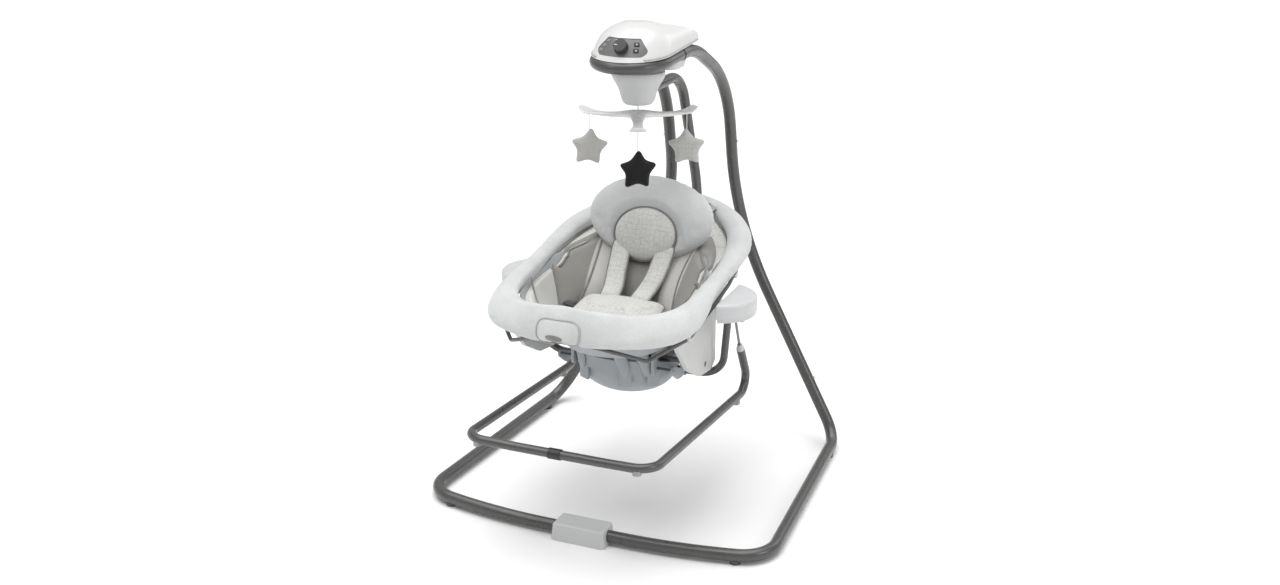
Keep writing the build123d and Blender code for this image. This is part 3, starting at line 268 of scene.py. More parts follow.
def printed(name, colour, ink, repeat, order=0.45):
    """Cream cloth with a loose lattice of fine ink lines, slightly quilted by the print."""
    finish = Finish(name, colour, 0.9, Sheen_Weight=0.3, Sheen_Roughness=0.5)
    drift = finish.node(
        "ShaderNodeVectorMath", [("Vector", finish.node(
            "ShaderNodeTexNoise", [("Vector", finish.place)], Scale=55.0).outputs["Color"])],
        operation="SCALE",
    )
    drift.inputs["Scale"].default_value = repeat * 0.35
    moved = finish.node("ShaderNodeVectorMath", operation="ADD")
    finish.tree.links.new(finish.place, moved.inputs[0])
    finish.tree.links.new(drift.outputs["Vector"], moved.inputs[1])
    cells = finish.node(
        "ShaderNodeTexVoronoi", [("Vector", moved.outputs["Vector"])],
        feature="DISTANCE_TO_EDGE", Scale=1.0 / repeat, Randomness=order,
    ).outputs["Distance"]
    thread = weave_height(finish, 0.0013)
    line = finish.ramp(cells, 0.025, 0.075, 0.62, 0.0)
    uneven = finish.maths("MULTIPLY", line, finish.ramp(finish.noise(130.0), 0.35, 0.6, 0.35, 1.0))
    finish.set("Base Color", finish.blend(uneven, finish.tone(25.0, 0.04), (*ink, 1)))
    soft = finish.ramp(cells, 0.0, 0.22, 0.0, 1.0)
    return finish.raise_by(finish.maths("ADD", soft, finish.maths("MULTIPLY", thread, 0.3)), 0.35, 0.0010)


def chevron_print(name, colour, ink, pitch):
    """Cream cloth with columns of stacked V lines, drawn in the plane the stars hang in."""
    finish = Finish(name, colour, 0.9, Sheen_Weight=0.3, Sheen_Roughness=0.5)
    across = finish.node("ShaderNodeVectorMath", [("Vector", finish.place)], operation="DOT_PRODUCT")
    across.inputs[1].default_value = (-math.sin(STAR_FACING), math.cos(STAR_FACING), 0)
    up = finish.node("ShaderNodeSeparateXYZ", [("Vector", finish.place)]).outputs["Z"]
    column = finish.maths("PINGPONG", across.outputs["Value"], pitch * 0.7)
    row = finish.maths("SUBTRACT", up, finish.maths("MULTIPLY", column, 0.55))
    bend = finish.maths("PINGPONG", row, pitch * 0.5)
    near_row = finish.ramp(bend, 0.0003, 0.0009, 0.85, 0.0)
    near_column = finish.ramp(finish.maths("PINGPONG", column, pitch * 0.35), 0.0002, 0.0007, 0.6, 0.0)
    lines = finish.maths("MAXIMUM", near_row, near_column)
    finish.set("Base Color", finish.blend(lines, finish.tone(25.0, 0.04), (*ink, 1)))
    quilted = finish.maths("SUBTRACT", finish.maths("MULTIPLY", weave_height(finish, 0.0013), 0.3), lines)
    return finish.raise_by(quilted, 0.35, 0.0010)


def webbing(name, colour):
    """Flat woven tape with ribs across it."""
    finish = Finish(name, colour, 0.75, Sheen_Weight=0.3)
    thread = weave_height(finish, 0.0009)
    finish.set("Base Color", finish.tone(90.0, 0.10))
    return finish.raise_by(thread, 0.6, 0.0006)


FINISHES = {}


class SWING_OT_finishes(bpy.types.Operator):
    """Mix the paints, plastics and cloths of the swing"""

    bl_idname = "swing.finishes"
    bl_label = "Mix finishes"

    def execute(self, context):
        c = context.scene.swing_colours
        repeat = context.scene.swing_sewing.print_repeat
        FINISHES.update(
            tube=powder_coat("tube_paint", c.tube),
            band=moulded("band_plastic", tuple(v * 0.80 for v in c.tube), 0.34, 0.06, 0.15),
            wire=powder_coat("wire_paint", c.wire, 0.36),
            steel=bare_steel("bright_steel", (0.62, 0.62, 0.61)),
            white=moulded("white_plastic", c.white, 0.30, 0.05, 0.25),
            mobile=moulded("mobile_plastic", tuple(v * 1.02 for v in c.white), 0.28, 0.04, 0.3),
            trim=moulded("trim_plastic", tuple(v * 0.72 for v in c.pale), 0.36, 0.05, 0.15),
            pale=moulded("pale_plastic", c.pale, 0.40, 0.10, 0.08),
            cone=moulded("cone_plastic", tuple(v * 0.92 for v in c.pale), 0.38, 0.06, 0.1),
            panel=moulded("panel_plastic", c.panel, 0.38, 0.12, 0.1),
            dark=moulded("dark_plastic", c.dark, 0.42, 0.16),
            mid=moulded("key_plastic", tuple(v * 2.1 for v in c.panel), 0.40, 0.1),
            blue_grey=moulded("blue_grey_plastic", c.blue_grey, 0.46, 0.16),
            bracket=moulded("bracket_plastic", c.bracket, 0.46, 0.14),
            rubber=rubber("glide_rubber", (0.09, 0.09, 0.092)),
            foot=rubber("foot_rubber", (0.30, 0.30, 0.30)),
            velour=velour("velour", c.velour),
            taupe=woven("taupe_cloth", c.taupe),
            wing=woven("light_taupe_cloth", c.wing),
            print=printed("printed_cloth", c.cream, c.ink, repeat),
            star_print=chevron_print("star_print_cloth", tuple(v * 0.80 for v in c.cream), c.ink, repeat),
            piping=webbing("piping_cord", c.piping),
            pale_piping=webbing("pale_piping_cord", tuple(v * 0.72 for v in c.velour)),
            webbing=webbing("dark_webbing", tuple(v * 1.2 for v in c.dark)),
            grey_plush=velour("grey_plush", c.grey_plush, 0.4),
            black_plush=velour("black_plush", c.black_plush, 0.12),
            cord=webbing("white_cord", (0.8, 0.8, 0.78)),
            ink=moulded("marking_ink", (0.85, 0.85, 0.85), 0.5),
            cell=moulded("cell_sleeve", (0.05, 0.05, 0.055), 0.35, 0.03, 0.4),
            board=moulded("board_resin", (0.02, 0.12, 0.05), 0.4, 0.05, 0.3),
        )
        return {"FINISHED"}


NODE_FINISH = {
    "tube": (
        "base_tube_left", "base_tube_right", "lower_upright_left", "lower_upright_right",
        "upper_tube_left", "upper_tube_right", "swing_arm", "hoop_tube", "loop_tubes",
    ),
    "band": ("front_band",),
    "wire": ("rim_frame", "spring_wires", "recline_bar", "latch_rod"),
    "steel": ("snap_buttons", "swing_axle", "mobile_hook", "pivot_pins", "axle_bearings", "drive_motor"),
    "white": ("housing_cover", "battery_door"),
    "mobile": ("mobile_hub",),
    "cone": ("hanger_cone",),
    "pale": ("housing_base", "foot_pad", "pod_left", "pod_right"),
    "panel": ("control_panel",),
    "mid": ("timer_button", "sound_button", "volume_button"),
    "dark": ("speed_knob", "music_button", "nature_button", "loop_sleeve", "waist_buckles"),
    "blue_grey": ("dock", "carrier", "seat_shell", "latch_plates"),
    "bracket": ("side_bracket_left", "side_bracket_right", "ferrules"),
    "rubber": ("floor_glides",),
    "foot": ("loop_feet",),
    "velour": ("rim_pad", "head_pillow"),
    "taupe": ("seat_liner",),
    "print": ("head_cushion", "strap_covers", "waist_pad"),
    "star_print": ("print_star",),
    "grey_plush": ("grey_star",),
    "black_plush": ("black_star",),
    "cord": ("grey_star_cord", "print_star_cord", "black_star_cord"),
    "cell": ("batteries",),
    "board": ("circuit_board",),
}


# ------------------------------------------------------------------ making pieces
def add_piece(name, points, faces, body, finish, marks=None, extra=()):
    """Mesh piece that rides on a body; marks picks a finish for each face from (finish, *extra)."""
    mesh = bpy.data.meshes.new(name)
    mesh.from_pydata([tuple(p) for p in points], [], [tuple(f) for f in faces])
    shaped = bmesh.new()
    shaped.from_mesh(mesh)
    bmesh.ops.recalc_face_normals(shaped, faces=shaped.faces)
    shaped.to_mesh(mesh)
    shaped.free()
    piece = bpy.data.objects.new(name, mesh)
    bpy.context.scene.collection.objects.link(piece)
    for key in (finish, *extra):
        mesh.materials.append(FINISHES[key])
    for face in mesh.polygons:
        face.use_smooth = True
        if marks is not None:
            face.material_index = int(marks[face.index])
    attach(piece, body)
    return piece


def smoothed(piece, levels=1):
    """Applies subdivision, so the piece keeps its final mesh."""
    modifier = piece.modifiers.new("Smooth", "SUBSURF")
    modifier.levels = modifier.render_levels = levels
    return settle(piece)


def settle(piece):
    """Applies every modifier on a piece."""
    bpy.context.view_layer.update()
    shape = piece.evaluated_get(bpy.context.evaluated_depsgraph_get())
    mesh = bpy.data.meshes.new_from_object(shape)
    old = piece.data
    piece.modifiers.clear()
    piece.data = mesh
    bpy.data.meshes.remove(old)
    for face in piece.data.polygons:
        face.use_smooth = True
    return piece


def remeshed(piece, cell, passes=6):
    modifier = piece.modifiers.new("Cells", "REMESH")
    modifier.mode = "VOXEL"
    modifier.voxel_size = cell
    settle(piece)
    modifier = piece.modifiers.new("Ease", "SMOOTH")
    modifier.iterations = passes
    modifier.factor = 0.6
    return settle(piece)


COVER_FRAMES = 20
COVER_STIFFNESS = 15.0


def inflated(piece, pressure, cap, shrink=0.0):
    """Lets the cover fill out under pressure, then holds each point within the cap of its start."""
    mesh = piece.data
    start = np.empty(len(mesh.vertices) * 3)
    mesh.vertices.foreach_get("co", start)
    start = start.reshape(-1, 3)
    cloth = piece.modifiers.new("Cover", "CLOTH")
    rules = cloth.settings
    rules.quality = 5
    rules.use_pressure = True
    rules.uniform_pressure_force = pressure
    rules.effector_weights.gravity = 0.0
    rules.shrink_min = shrink
    rules.tension_stiffness = rules.compression_stiffness = COVER_STIFFNESS
    rules.bending_stiffness = 0.6
    cloth.point_cache.frame_start = 1
    cloth.point_cache.frame_end = COVER_FRAMES
    scene = bpy.context.scene
    for step in range(1, COVER_FRAMES + 1):
        scene.frame_set(step)
    shape = piece.evaluated_get(bpy.context.evaluated_depsgraph_get())
    ends = np.empty(len(mesh.vertices) * 3)
    shape.data.vertices.foreach_get("co", ends)
    moved = ends.reshape(-1, 3) - start
    reach = np.linalg.norm(moved, axis=1, keepdims=True)
    moved *= np.minimum(1.0, cap / np.maximum(reach, 1e-9))
    piece.modifiers.clear()
    scene.frame_set(1)
    mesh.vertices.foreach_set("co", (start + moved).ravel())
    mesh.update()
    return piece


def weld(piece, distance, face_out=True):
    """Joins the points that lie within a distance of each other, and turns the faces outwards."""
    joined = bmesh.new()
    joined.from_mesh(piece.data)
    bmesh.ops.remove_doubles(joined, verts=joined.verts, dist=distance)
    if face_out:
        bmesh.ops.recalc_face_normals(joined, faces=joined.faces)
    joined.to_mesh(piece.data)
    joined.free()
    return piece


def copy_of_node(name, node, body, finish):
    """Fresh piece with the shape of a CAD node."""
    source = NODES[node].data
    points = [v.co.copy() for v in source.vertices]
    faces = [tuple(f.vertices) for f in source.polygons]
    return weld(add_piece(name, points, faces, body, finish), 1e-5)


def surface_of(piece):
    """Search tree of a piece's own mesh."""
    points = [v.co.copy() for v in piece.data.vertices]
    return BVHTree.FromPolygons(points, [tuple(f.vertices) for f in piece.data.polygons])


def tube_piece(name, path, radius, body, finish, closed=False, sides=10):
    """Round cord or piping along a path of points."""
    points = [Vector(p) for p in path]
    count = len(points)
    rings, faces = [], []
    lean = None
    for index, point in enumerate(points):
        before = points[(index - 1) % count] if closed or index else point
        after = points[(index + 1) % count] if closed or index < count - 1 else point
        heading = (after - before).normalized()
        if lean is None:
            lean = heading.orthogonal().normalized()
        lean = (lean - heading * lean.dot(heading)).normalized()
        side = heading.cross(lean)
        for turn in range(sides):
            angle = 2 * math.pi * turn / sides
            rings.append(point + (lean * math.cos(angle) + side * math.sin(angle)) * radius)
    spans = count if closed else count - 1
    for index in range(spans):
        near, far = index * sides, ((index + 1) % count) * sides
        for turn in range(sides):
            step = (turn + 1) % sides
            faces.append((near + turn, near + step, far + step, far + turn))
    if not closed:
        faces.append(tuple(range(sides)))
        faces.append(tuple(range((count - 1) * sides, count * sides)))
    return add_piece(name, rings, faces, body, finish)


def rounded_path(points, closed=False, steps=8):
    """Smooth curve through given points."""
    result = []
    count = len(points)
    spans = count if closed else count - 1
    for index in range(spans):
        if closed:
            p = [points[(index + k) % count] for k in (-1, 0, 1, 2)]
        else:
            p = [points[min(max(index + k, 0), count - 1)] for k in (-1, 0, 1, 2)]
        p = [Vector(q) for q in p]
        for step in range(steps):
            t = step / steps
            result.append(0.5 * (
                2 * p[1] + (p[2] - p[0]) * t + (2 * p[0] - 5 * p[1] + 4 * p[2] - p[3]) * t * t
                + (3 * p[1] - p[0] - 3 * p[2] + p[3]) * t ** 3
            ))
    if not closed:
        result.append(Vector(points[-1]))
    return result


def grid_faces(rows, columns, wrap=True):
    """Quads of a grid of points, row by row."""
    faces = []
    for row in range(rows - 1):
        for column in range(columns if wrap else columns - 1):
            beside = (column + 1) % columns
            faces.append((
                row * columns + column, row * columns + beside,
                (row + 1) * columns + beside, (row + 1) * columns + column,
            ))
    return faces


def shifted(faces, start, turned=False):
    """The same faces on the points from start on, turned inside out where asked."""
    return [tuple(v + start for v in (reversed(face) if turned else face)) for face in faces]


def fan(ring, count, middle):
    """Triangles from the ring of points that starts at ring to a middle point."""
    return [(ring + k, ring + (k + 1) % count, middle) for k in range(count)]


class SWING_OT_frame_finish(bpy.types.Operator):
    """Paint and finish every piece that the frame brings along"""

    bl_idname = "swing.frame_finish"
    bl_label = "Finish frame"

    def execute(self, context):
        left = set(NODES)
        for key, names in NODE_FINISH.items():
            for name in names:
                mesh = NODES[name].data
                mesh.materials.clear()
                mesh.materials.append(FINISHES[key])
                left.discard(name)
        if left:
            raise RuntimeError(f"no finish for {sorted(left)}")
        return {"FINISHED"}


# ------------------------------------------------------------------ mobile
MOBILE_Y, MOBILE_Z = 0.006, 0.843
MOBILE_AT = Vector((0.0, MOBILE_Y, MOBILE_Z))
CORD_REACH = 0.120
CORD_TOP = MOBILE_Z - 0.0110
CORD_DIAMETER = 0.0018
# Each star: node, place round the hub and drop of its top, then twist and lean, then finish and slot
STARS = (
    ("grey_star", -120.0, 0.034, 14.0, -7.0, "grey_plush", "grey_plush"),
    ("black_star", 0.0, 0.038, 24.0, -4.0, "black_plush", "black_plush"),
    ("print_star", 120.0, 0.0340, -10.0, 3.0, "star_print", "print_fabric"),
)


def star_outline(steps=11):
    """Plush star of broad straight-sided arms with rounded tips, as (x, y) about its middle."""
    corners = []
    for corner in range(10):
        reach = 0.0255 if corner % 2 else 0.0500
        angle = math.pi / 2 + math.pi * corner / 5
        corners.append(np.array((reach * math.cos(angle), reach * math.sin(angle))))
    outline = np.array([
        corners[k] + (corners[(k + 1) % 10] - corners[k]) * step / steps
        for k in range(10) for step in range(steps)
    ])
    for _ in range(26):
        outline = (np.roll(outline, 1, axis=0) + 2 * outline + np.roll(outline, -1, axis=0)) / 4
    return outline.tolist()


def star_body():
    """Two star panels sewn at the edge and stuffed, as points and faces."""
    outline = star_outline()
    count, rings = len(outline), 13
    shape = np.array(outline)
    points, faces = [], []
    for side in (1, -1):
        base = len(points)
        for ring in range(rings):
            share = 1 - ring / rings
            for x, y in shape * share:
                gap = np.min(np.hypot(shape[:, 0] - x, shape[:, 1] - y))
                full = min(gap / 0.020, 1.0)
                height = 0.0130 * math.sqrt(full * (2 - full))
                points.append((x, y, side * height))
        points.append((0.0, 0.0, side * 0.0130))
        faces += shifted(grid_faces(rings, count), base)
        faces += fan(base + (rings - 1) * count, count, base + rings * count)
    return points, faces


class SWING_OT_mobile(bpy.types.Operator):
    """Stuff the three plush stars and hang them on their cords"""

    bl_idname = "swing.mobile"
    bl_label = "Mobile stars"

    def execute(self, context):
        points, faces = star_body()
        self.add_hub()
        for node, turn, drop, twist, lean, finish, slot in STARS:
            angle = STAR_FACING + math.radians(twist)
            side = Vector((-math.sin(angle), math.cos(angle), 0))
            facing = Vector((math.cos(angle), math.sin(angle), 0))
            heading = STAR_FACING + math.radians(turn)
            top_x, top_y = CORD_REACH * math.cos(heading), MOBILE_Y + CORD_REACH * math.sin(heading)
            top = Vector((top_x, top_y, CORD_TOP))
            middle = top - Vector((0, 0, drop + 0.0405))
            tilt = math.radians(lean)
            placed = []
            for x, y, z in points:
                across = x * math.cos(tilt) - y * math.sin(tilt)
                up = x * math.sin(tilt) + y * math.cos(tilt)
                placed.append(middle + side * across + Vector((0, 0, up)) + facing * z)
            body = f"{node}_on_cord"
            star = add_piece(f"{node}_plush", placed, faces, body, finish)
            weld(star, 1e-5)
            inflated(star, 3.0, 0.004, shrink=0.01)
            smoothed(star)
            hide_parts(node)
            low = max(v.co.z for v in star.data.vertices)
            line = bpy.data.curves.new(f"{node}_thread", "CURVE")
            line.dimensions = "3D"
            line.bevel_depth = CORD_DIAMETER / 2
            line.use_fill_caps = True
            spline = line.splines.new("NURBS")
            spline.points.add(4)
            length = top.z - low + 0.0005
            for k, point in enumerate(spline.points):
                point.co = (top.x, top.y, top.z - length * k / 4, 1)
            spline.order_u = 3
            spline.use_endpoint_u = True
            line.materials.append(FINISHES["cord"])
            cord = bpy.data.objects.new(f"{node}_thread", line)
            context.scene.collection.objects.link(cord)
            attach(cord, body)
            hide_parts(f"{node}_cord")
        return {"FINISHED"}

    def add_hub(self):
        """Three scooped arms that flow into the hub."""
        # Along an arm: distance from the hub, height, half width and half thickness
        stations = (
            (0.000, 0.0000, 0.0190, 0.0085), (0.018, -0.0012, 0.0180, 0.0082),
            (0.034, -0.0035, 0.0140, 0.0070), (0.052, -0.0062, 0.0108, 0.0058),
            (0.075, -0.0082, 0.0100, 0.0050), (0.096, -0.0086, 0.0128, 0.0042),
            (0.110, -0.0078, 0.0172, 0.0032), (0.122, -0.0072, 0.0190, 0.0034),
            (0.134, -0.0022, 0.0165, 0.0032), (0.1425, 0.0030, 0.0100, 0.0026),
        )
        sides = 20
        points, faces = [], []
        for arm in range(3):
            heading = STAR_FACING + math.radians(120 * arm)
            ahead = Vector((math.cos(heading), math.sin(heading), 0))
            across = Vector((-math.sin(heading), math.cos(heading), 0))
            base = len(points)
            for reach, lift, half, thick in stations:
                scoop = 0.0022 * min(max((reach - 0.100) / 0.012, 0.0), 1.0)
                for step in range(sides):
                    turn = 2 * math.pi * step / sides
                    c, up = math.cos(turn), math.sin(turn)
                    height = thick * math.copysign(abs(up) ** 0.8, up)
                    if up > 0:
                        height -= scoop * (1 - c * c) ** 1.5
                    rise = Vector((0, 0, lift + height))
                    points.append(MOBILE_AT + ahead * reach + across * (half * c) + rise)
            faces += shifted(grid_faces(len(stations), sides), base)
            for end in (base, base + (len(stations) - 1) * sides):
                faces.append(tuple(range(end, end + sides)))
        hub = add_piece("mobile_arms", points, faces, "mobile", "mobile")
        remeshed(hub, 0.0013, 3)
        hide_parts("mobile_hub")


# ------------------------------------------------------------------ seat
HOLLOW_MIDDLE = Vector((0.0, -0.080, 0.545))
LINER_COLUMNS = 144
LINER_ROWS = 42
BAND_ROWS = 6
# Seams of the lining on one side, from the rim down: each is a vertical cut through its two ends
BOLSTER_SEAM = (
    (0.184, -0.061, 0.535), (0.177, -0.067, 0.523), (0.140, -0.102, 0.453), (0.112, -0.128, 0.425),
)
BACK_SEAM = ((0.118, 0.110, 0.575), (0.108, 0.046, 0.533), (0.104, -0.045, 0.457), (0.101, -0.085, 0.425))
CORNER_SEAM = ((0.176, -0.156, 0.512), (0.160, -0.170, 0.483), (0.128, -0.198, 0.450))
EDGE_SEAM = ((0.066, 0.110, 0.575), (0.064, 0.046, 0.525), (0.061, -0.045, 0.452), (0.060, -0.085, 0.430))


def past_seam(point, seam):
    """True where a point is on the front or outer side of the cut that a seam makes."""
    (ax, ay, _), (bx, by, _) = seam[0], seam[-1]
    return (bx - ax) * (point.y - ay) - (by - ay) * (abs(point.x) - ax) > 0


def liner_grid(liner, rim):
    """Points of the lining from the bottom (row 0) up to the rim, and where it meets the rim."""

    def way(column, rise):
        turn = 2 * math.pi * column / LINER_COLUMNS
        flat = Vector((math.sin(turn), -math.cos(turn), 0))
        return flat * math.sin(rise) - Vector((0, 0, math.cos(rise)))

    def meets_rim(column, rise):
        return rim.ray_cast(HOLLOW_MIDDLE, way(column, rise))[0]

    def on_liner(column, rise):
        return liner.ray_cast(HOLLOW_MIDDLE, way(column, rise))[0]

    tops, rim_lows, spread = [], [], []
    for column in range(LINER_COLUMNS):
        rim_low = next(math.radians(a) for a in range(50, 130) if meets_rim(column, math.radians(a)))
        under = rim_low - math.radians(1)
        for _ in range(8):
            middle = (under + rim_low) / 2
            under, rim_low = (under, middle) if meets_rim(column, middle) else (middle, rim_low)
        low, high = math.radians(40), math.radians(125)
        for _ in range(18):
            middle = (low + high) / 2
            low, high = (middle, high) if on_liner(column, middle) else (low, middle)
        level = max(low, rim_low + math.radians(0.4))
        facing = meets_rim(column, level) or meets_rim(column, rim_low + math.radians(0.4))
        gap = (facing - on_liner(column, low * 0.999)).length
        tops.append(low)
        rim_lows.append(rim_low)
        spread.append(min(max((gap - 0.005) / 0.012, 0.0), 1.0) if low > rim_low else 0.0)
    for _ in range(3):
        spread = [
            (spread[k - 1] + 2 * spread[k] + spread[(k + 1) % LINER_COLUMNS]) / 4
            for k in range(LINER_COLUMNS)
        ]

    columns, edge = [], []
    for column, (low, rim_low, share) in enumerate(zip(tops, rim_lows, spread)):
        reached = min(low, rim_low)
        top = reached + (low - reached) * share
        level = rim_low + math.radians(0.4) + max(low - rim_low, 0.0) * share
        meeting = meets_rim(column, level) or meets_rim(column, rim_low + math.radians(0.4))
        fine = [on_liner(column, top * step / 90) for step in range(91)]
        for index in range(1, 91):
            fine[index] = fine[index] or fine[index - 1]
        lengths = [0.0]
        for index in range(1, 91):
            lengths.append(lengths[-1] + (fine[index] - fine[index - 1]).length)
        wall = lengths[-1] - 0.003
        start, beyond = fine[-1], meeting + way(column, level) * 0.007
        tucked = beyond if low < rim_low else start + (beyond - start) * (0.5 + 0.5 * share)
        for step in range(1, 9):
            sag = 0.08 * (tucked - start).length * math.sin(math.pi * step / 8)
            fine.append(start.lerp(tucked, step / 8) - Vector((0, 0, sag)))
            lengths.append(lengths[-1] + (fine[-1] - fine[-2]).length)
        stops = [wall * (row / (LINER_ROWS - BAND_ROWS)) ** 0.9 for row in range(LINER_ROWS - BAND_ROWS)]
        stops += [wall + (lengths[-1] - wall) * row / (BAND_ROWS - 1) for row in range(BAND_ROWS)]
        ray = []
        for stop in stops:
            index = min(max(int(np.searchsorted(lengths, stop)), 1), len(lengths) - 1)
            span = lengths[index] - lengths[index - 1]
            part = (stop - lengths[index - 1]) / span if span > 1e-9 else 0.0
            ray.append(fine[index - 1].lerp(fine[index], min(max(part, 0.0), 1.0)))
        columns.append(ray)
        edge.append(meeting - way(column, level) * 0.0006)
    return [[columns[c][r] for c in range(LINER_COLUMNS)] for r in range(LINER_ROWS)], edge


def lining_cloth(point, in_band):
    """Which cloth a place of the lining is cut from: 0 taupe, 1 light taupe, 2 print."""
    if point.y < -0.09 and point.z > 0.44 and abs(point.x) > 0.10 and past_seam(point, CORNER_SEAM):
        return 2
    if in_band and point.y > -0.06:
        return 2
    if point.y < -0.02 and abs(point.x) > 0.095 and past_seam(point, BOLSTER_SEAM):
        return 1
    if point.y > -0.10 and past_seam(point, BACK_SEAM) != past_seam(point, EDGE_SEAM):
        return 1
    return 0


class SWING_OT_lining(bpy.types.Operator):
    """Sew the padded lining of the seat from its panels"""

    bl_idname = "swing.lining"
    bl_label = "Seat lining"

    def execute(self, context):
        radius = context.scene.swing_sewing.piping
        liner = surface_of(NODES["seat_liner"])
        grid, edge = liner_grid(liner, surface_of(NODES["rim_pad"]))
        seams = self.seam_paths(liner, grid, edge)
        inner = []
        for r in range(LINER_ROWS):
            for c in range(LINER_COLUMNS):
                point = grid[r][c]
                beside = grid[r][(c + 1) % LINER_COLUMNS] - grid[r][c - 1]
                above = grid[min(r + 1, LINER_ROWS - 1)][c] - grid[max(r - 1, 0)][c]
                inward = beside.cross(above)
                inward = inward.normalized() if inward.length > 1e-9 else Vector((0, 0, 1))
                if inward.dot(HOLLOW_MIDDLE - point) < 0:
                    inward = -inward
                inner.append((point, inward))
        seam_at = np.array([tuple(p) for path in seams.values() for p in path])
        points = []
        for index, (point, inward) in enumerate(inner):
            gap = np.min(np.linalg.norm(seam_at - np.array(point), axis=1))
            crown = 0.0045 * (1 - math.exp(-gap / 0.016)) - 0.0015 * math.exp(-gap / 0.004)
            from_top = (LINER_ROWS - 1 - index // LINER_COLUMNS) / 3.0
            points.append(point + inward * (crown * min(from_top, 1.0) - 0.0008))
        sheet = len(points)
        points += [point - inward * 0.008 for point, inward in inner]
        faces = grid_faces(LINER_ROWS, LINER_COLUMNS)
        marks = [2 * (index // LINER_COLUMNS >= LINER_ROWS - BAND_ROWS) for index in range(len(faces))]
        faces += shifted(grid_faces(LINER_ROWS, LINER_COLUMNS), sheet, turned=True)
        last = (LINER_ROWS - 1) * LINER_COLUMNS
        for c in range(LINER_COLUMNS):
            d = (c + 1) % LINER_COLUMNS
            faces.append((last + c, last + d, last + d + sheet, last + c + sheet))
        marks += [0] * (len(faces) - len(marks))
        lining = add_piece(
            "seat_lining", points, faces, "seat", "taupe", marks, ("wing", "print")
        )
        weld(lining, 2e-4, face_out=False)
        smoothed(lining)
        self.cut_panels(lining)
        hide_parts("seat_liner")
        for name, path in seams.items():
            laid = [p + (HOLLOW_MIDDLE - p).normalized() * 0.0006 for p in path]
            closed = name == "rim_edge"
            tube_piece(f"{name}_piping", laid, radius, "seat", "piping", closed)
        return {"FINISHED"}

    def seam_paths(self, liner, grid, edge):
        """Routes of the seams on the lining."""
        def laid(x, y, z):
            way = Vector((x, y, z)) - HOLLOW_MIDDLE
            return liner.ray_cast(HOLLOW_MIDDLE, way.normalized())[0]

        paths = {"rim_edge": rounded_path(edge[::2], True, 3)}
        row = grid[LINER_ROWS - BAND_ROWS]
        back = [point for point in row if point.y > -0.066]
        paths["band"] = rounded_path(back, steps=3)
        routes = {"bolster": BOLSTER_SEAM, "back": BACK_SEAM, "corner": CORNER_SEAM}
        for side, ending in ((-1, "left"), (1, "right")):
            for name, route in routes.items():
                points = [laid(side * x, y, z) for x, y, z in rounded_path(route, steps=8)]
                paths[f"{name}_{ending}"] = [p for p in points if p is not None]
        return paths

    def cut_panels(self, lining):
        """Cuts the mesh along the straight seams, so each panel ends cleanly at its piping."""
        cut = bmesh.new()
        cut.from_mesh(lining.data)
        for side in (-1, 1):
            for seam in (BOLSTER_SEAM, BACK_SEAM, CORNER_SEAM, EDGE_SEAM):
                start, end = (Vector((side * p[0], p[1], 0)) for p in (seam[0], seam[-1]))
                across = (end - start).cross(Vector((0, 0, 1))).normalized()
                near = [f for f in cut.faces if f.calc_center_median().x * side > 0]
                edges = {e for f in near for e in f.edges}
                bmesh.ops.bisect_plane(
                    cut, geom=near + list(edges), dist=1e-6, plane_co=start, plane_no=across
                )
        for face in cut.faces:
            face.material_index = lining_cloth(face.calc_center_median(), face.material_index == 2)
            face.smooth = True
        cut.to_mesh(lining.data)
        cut.free()


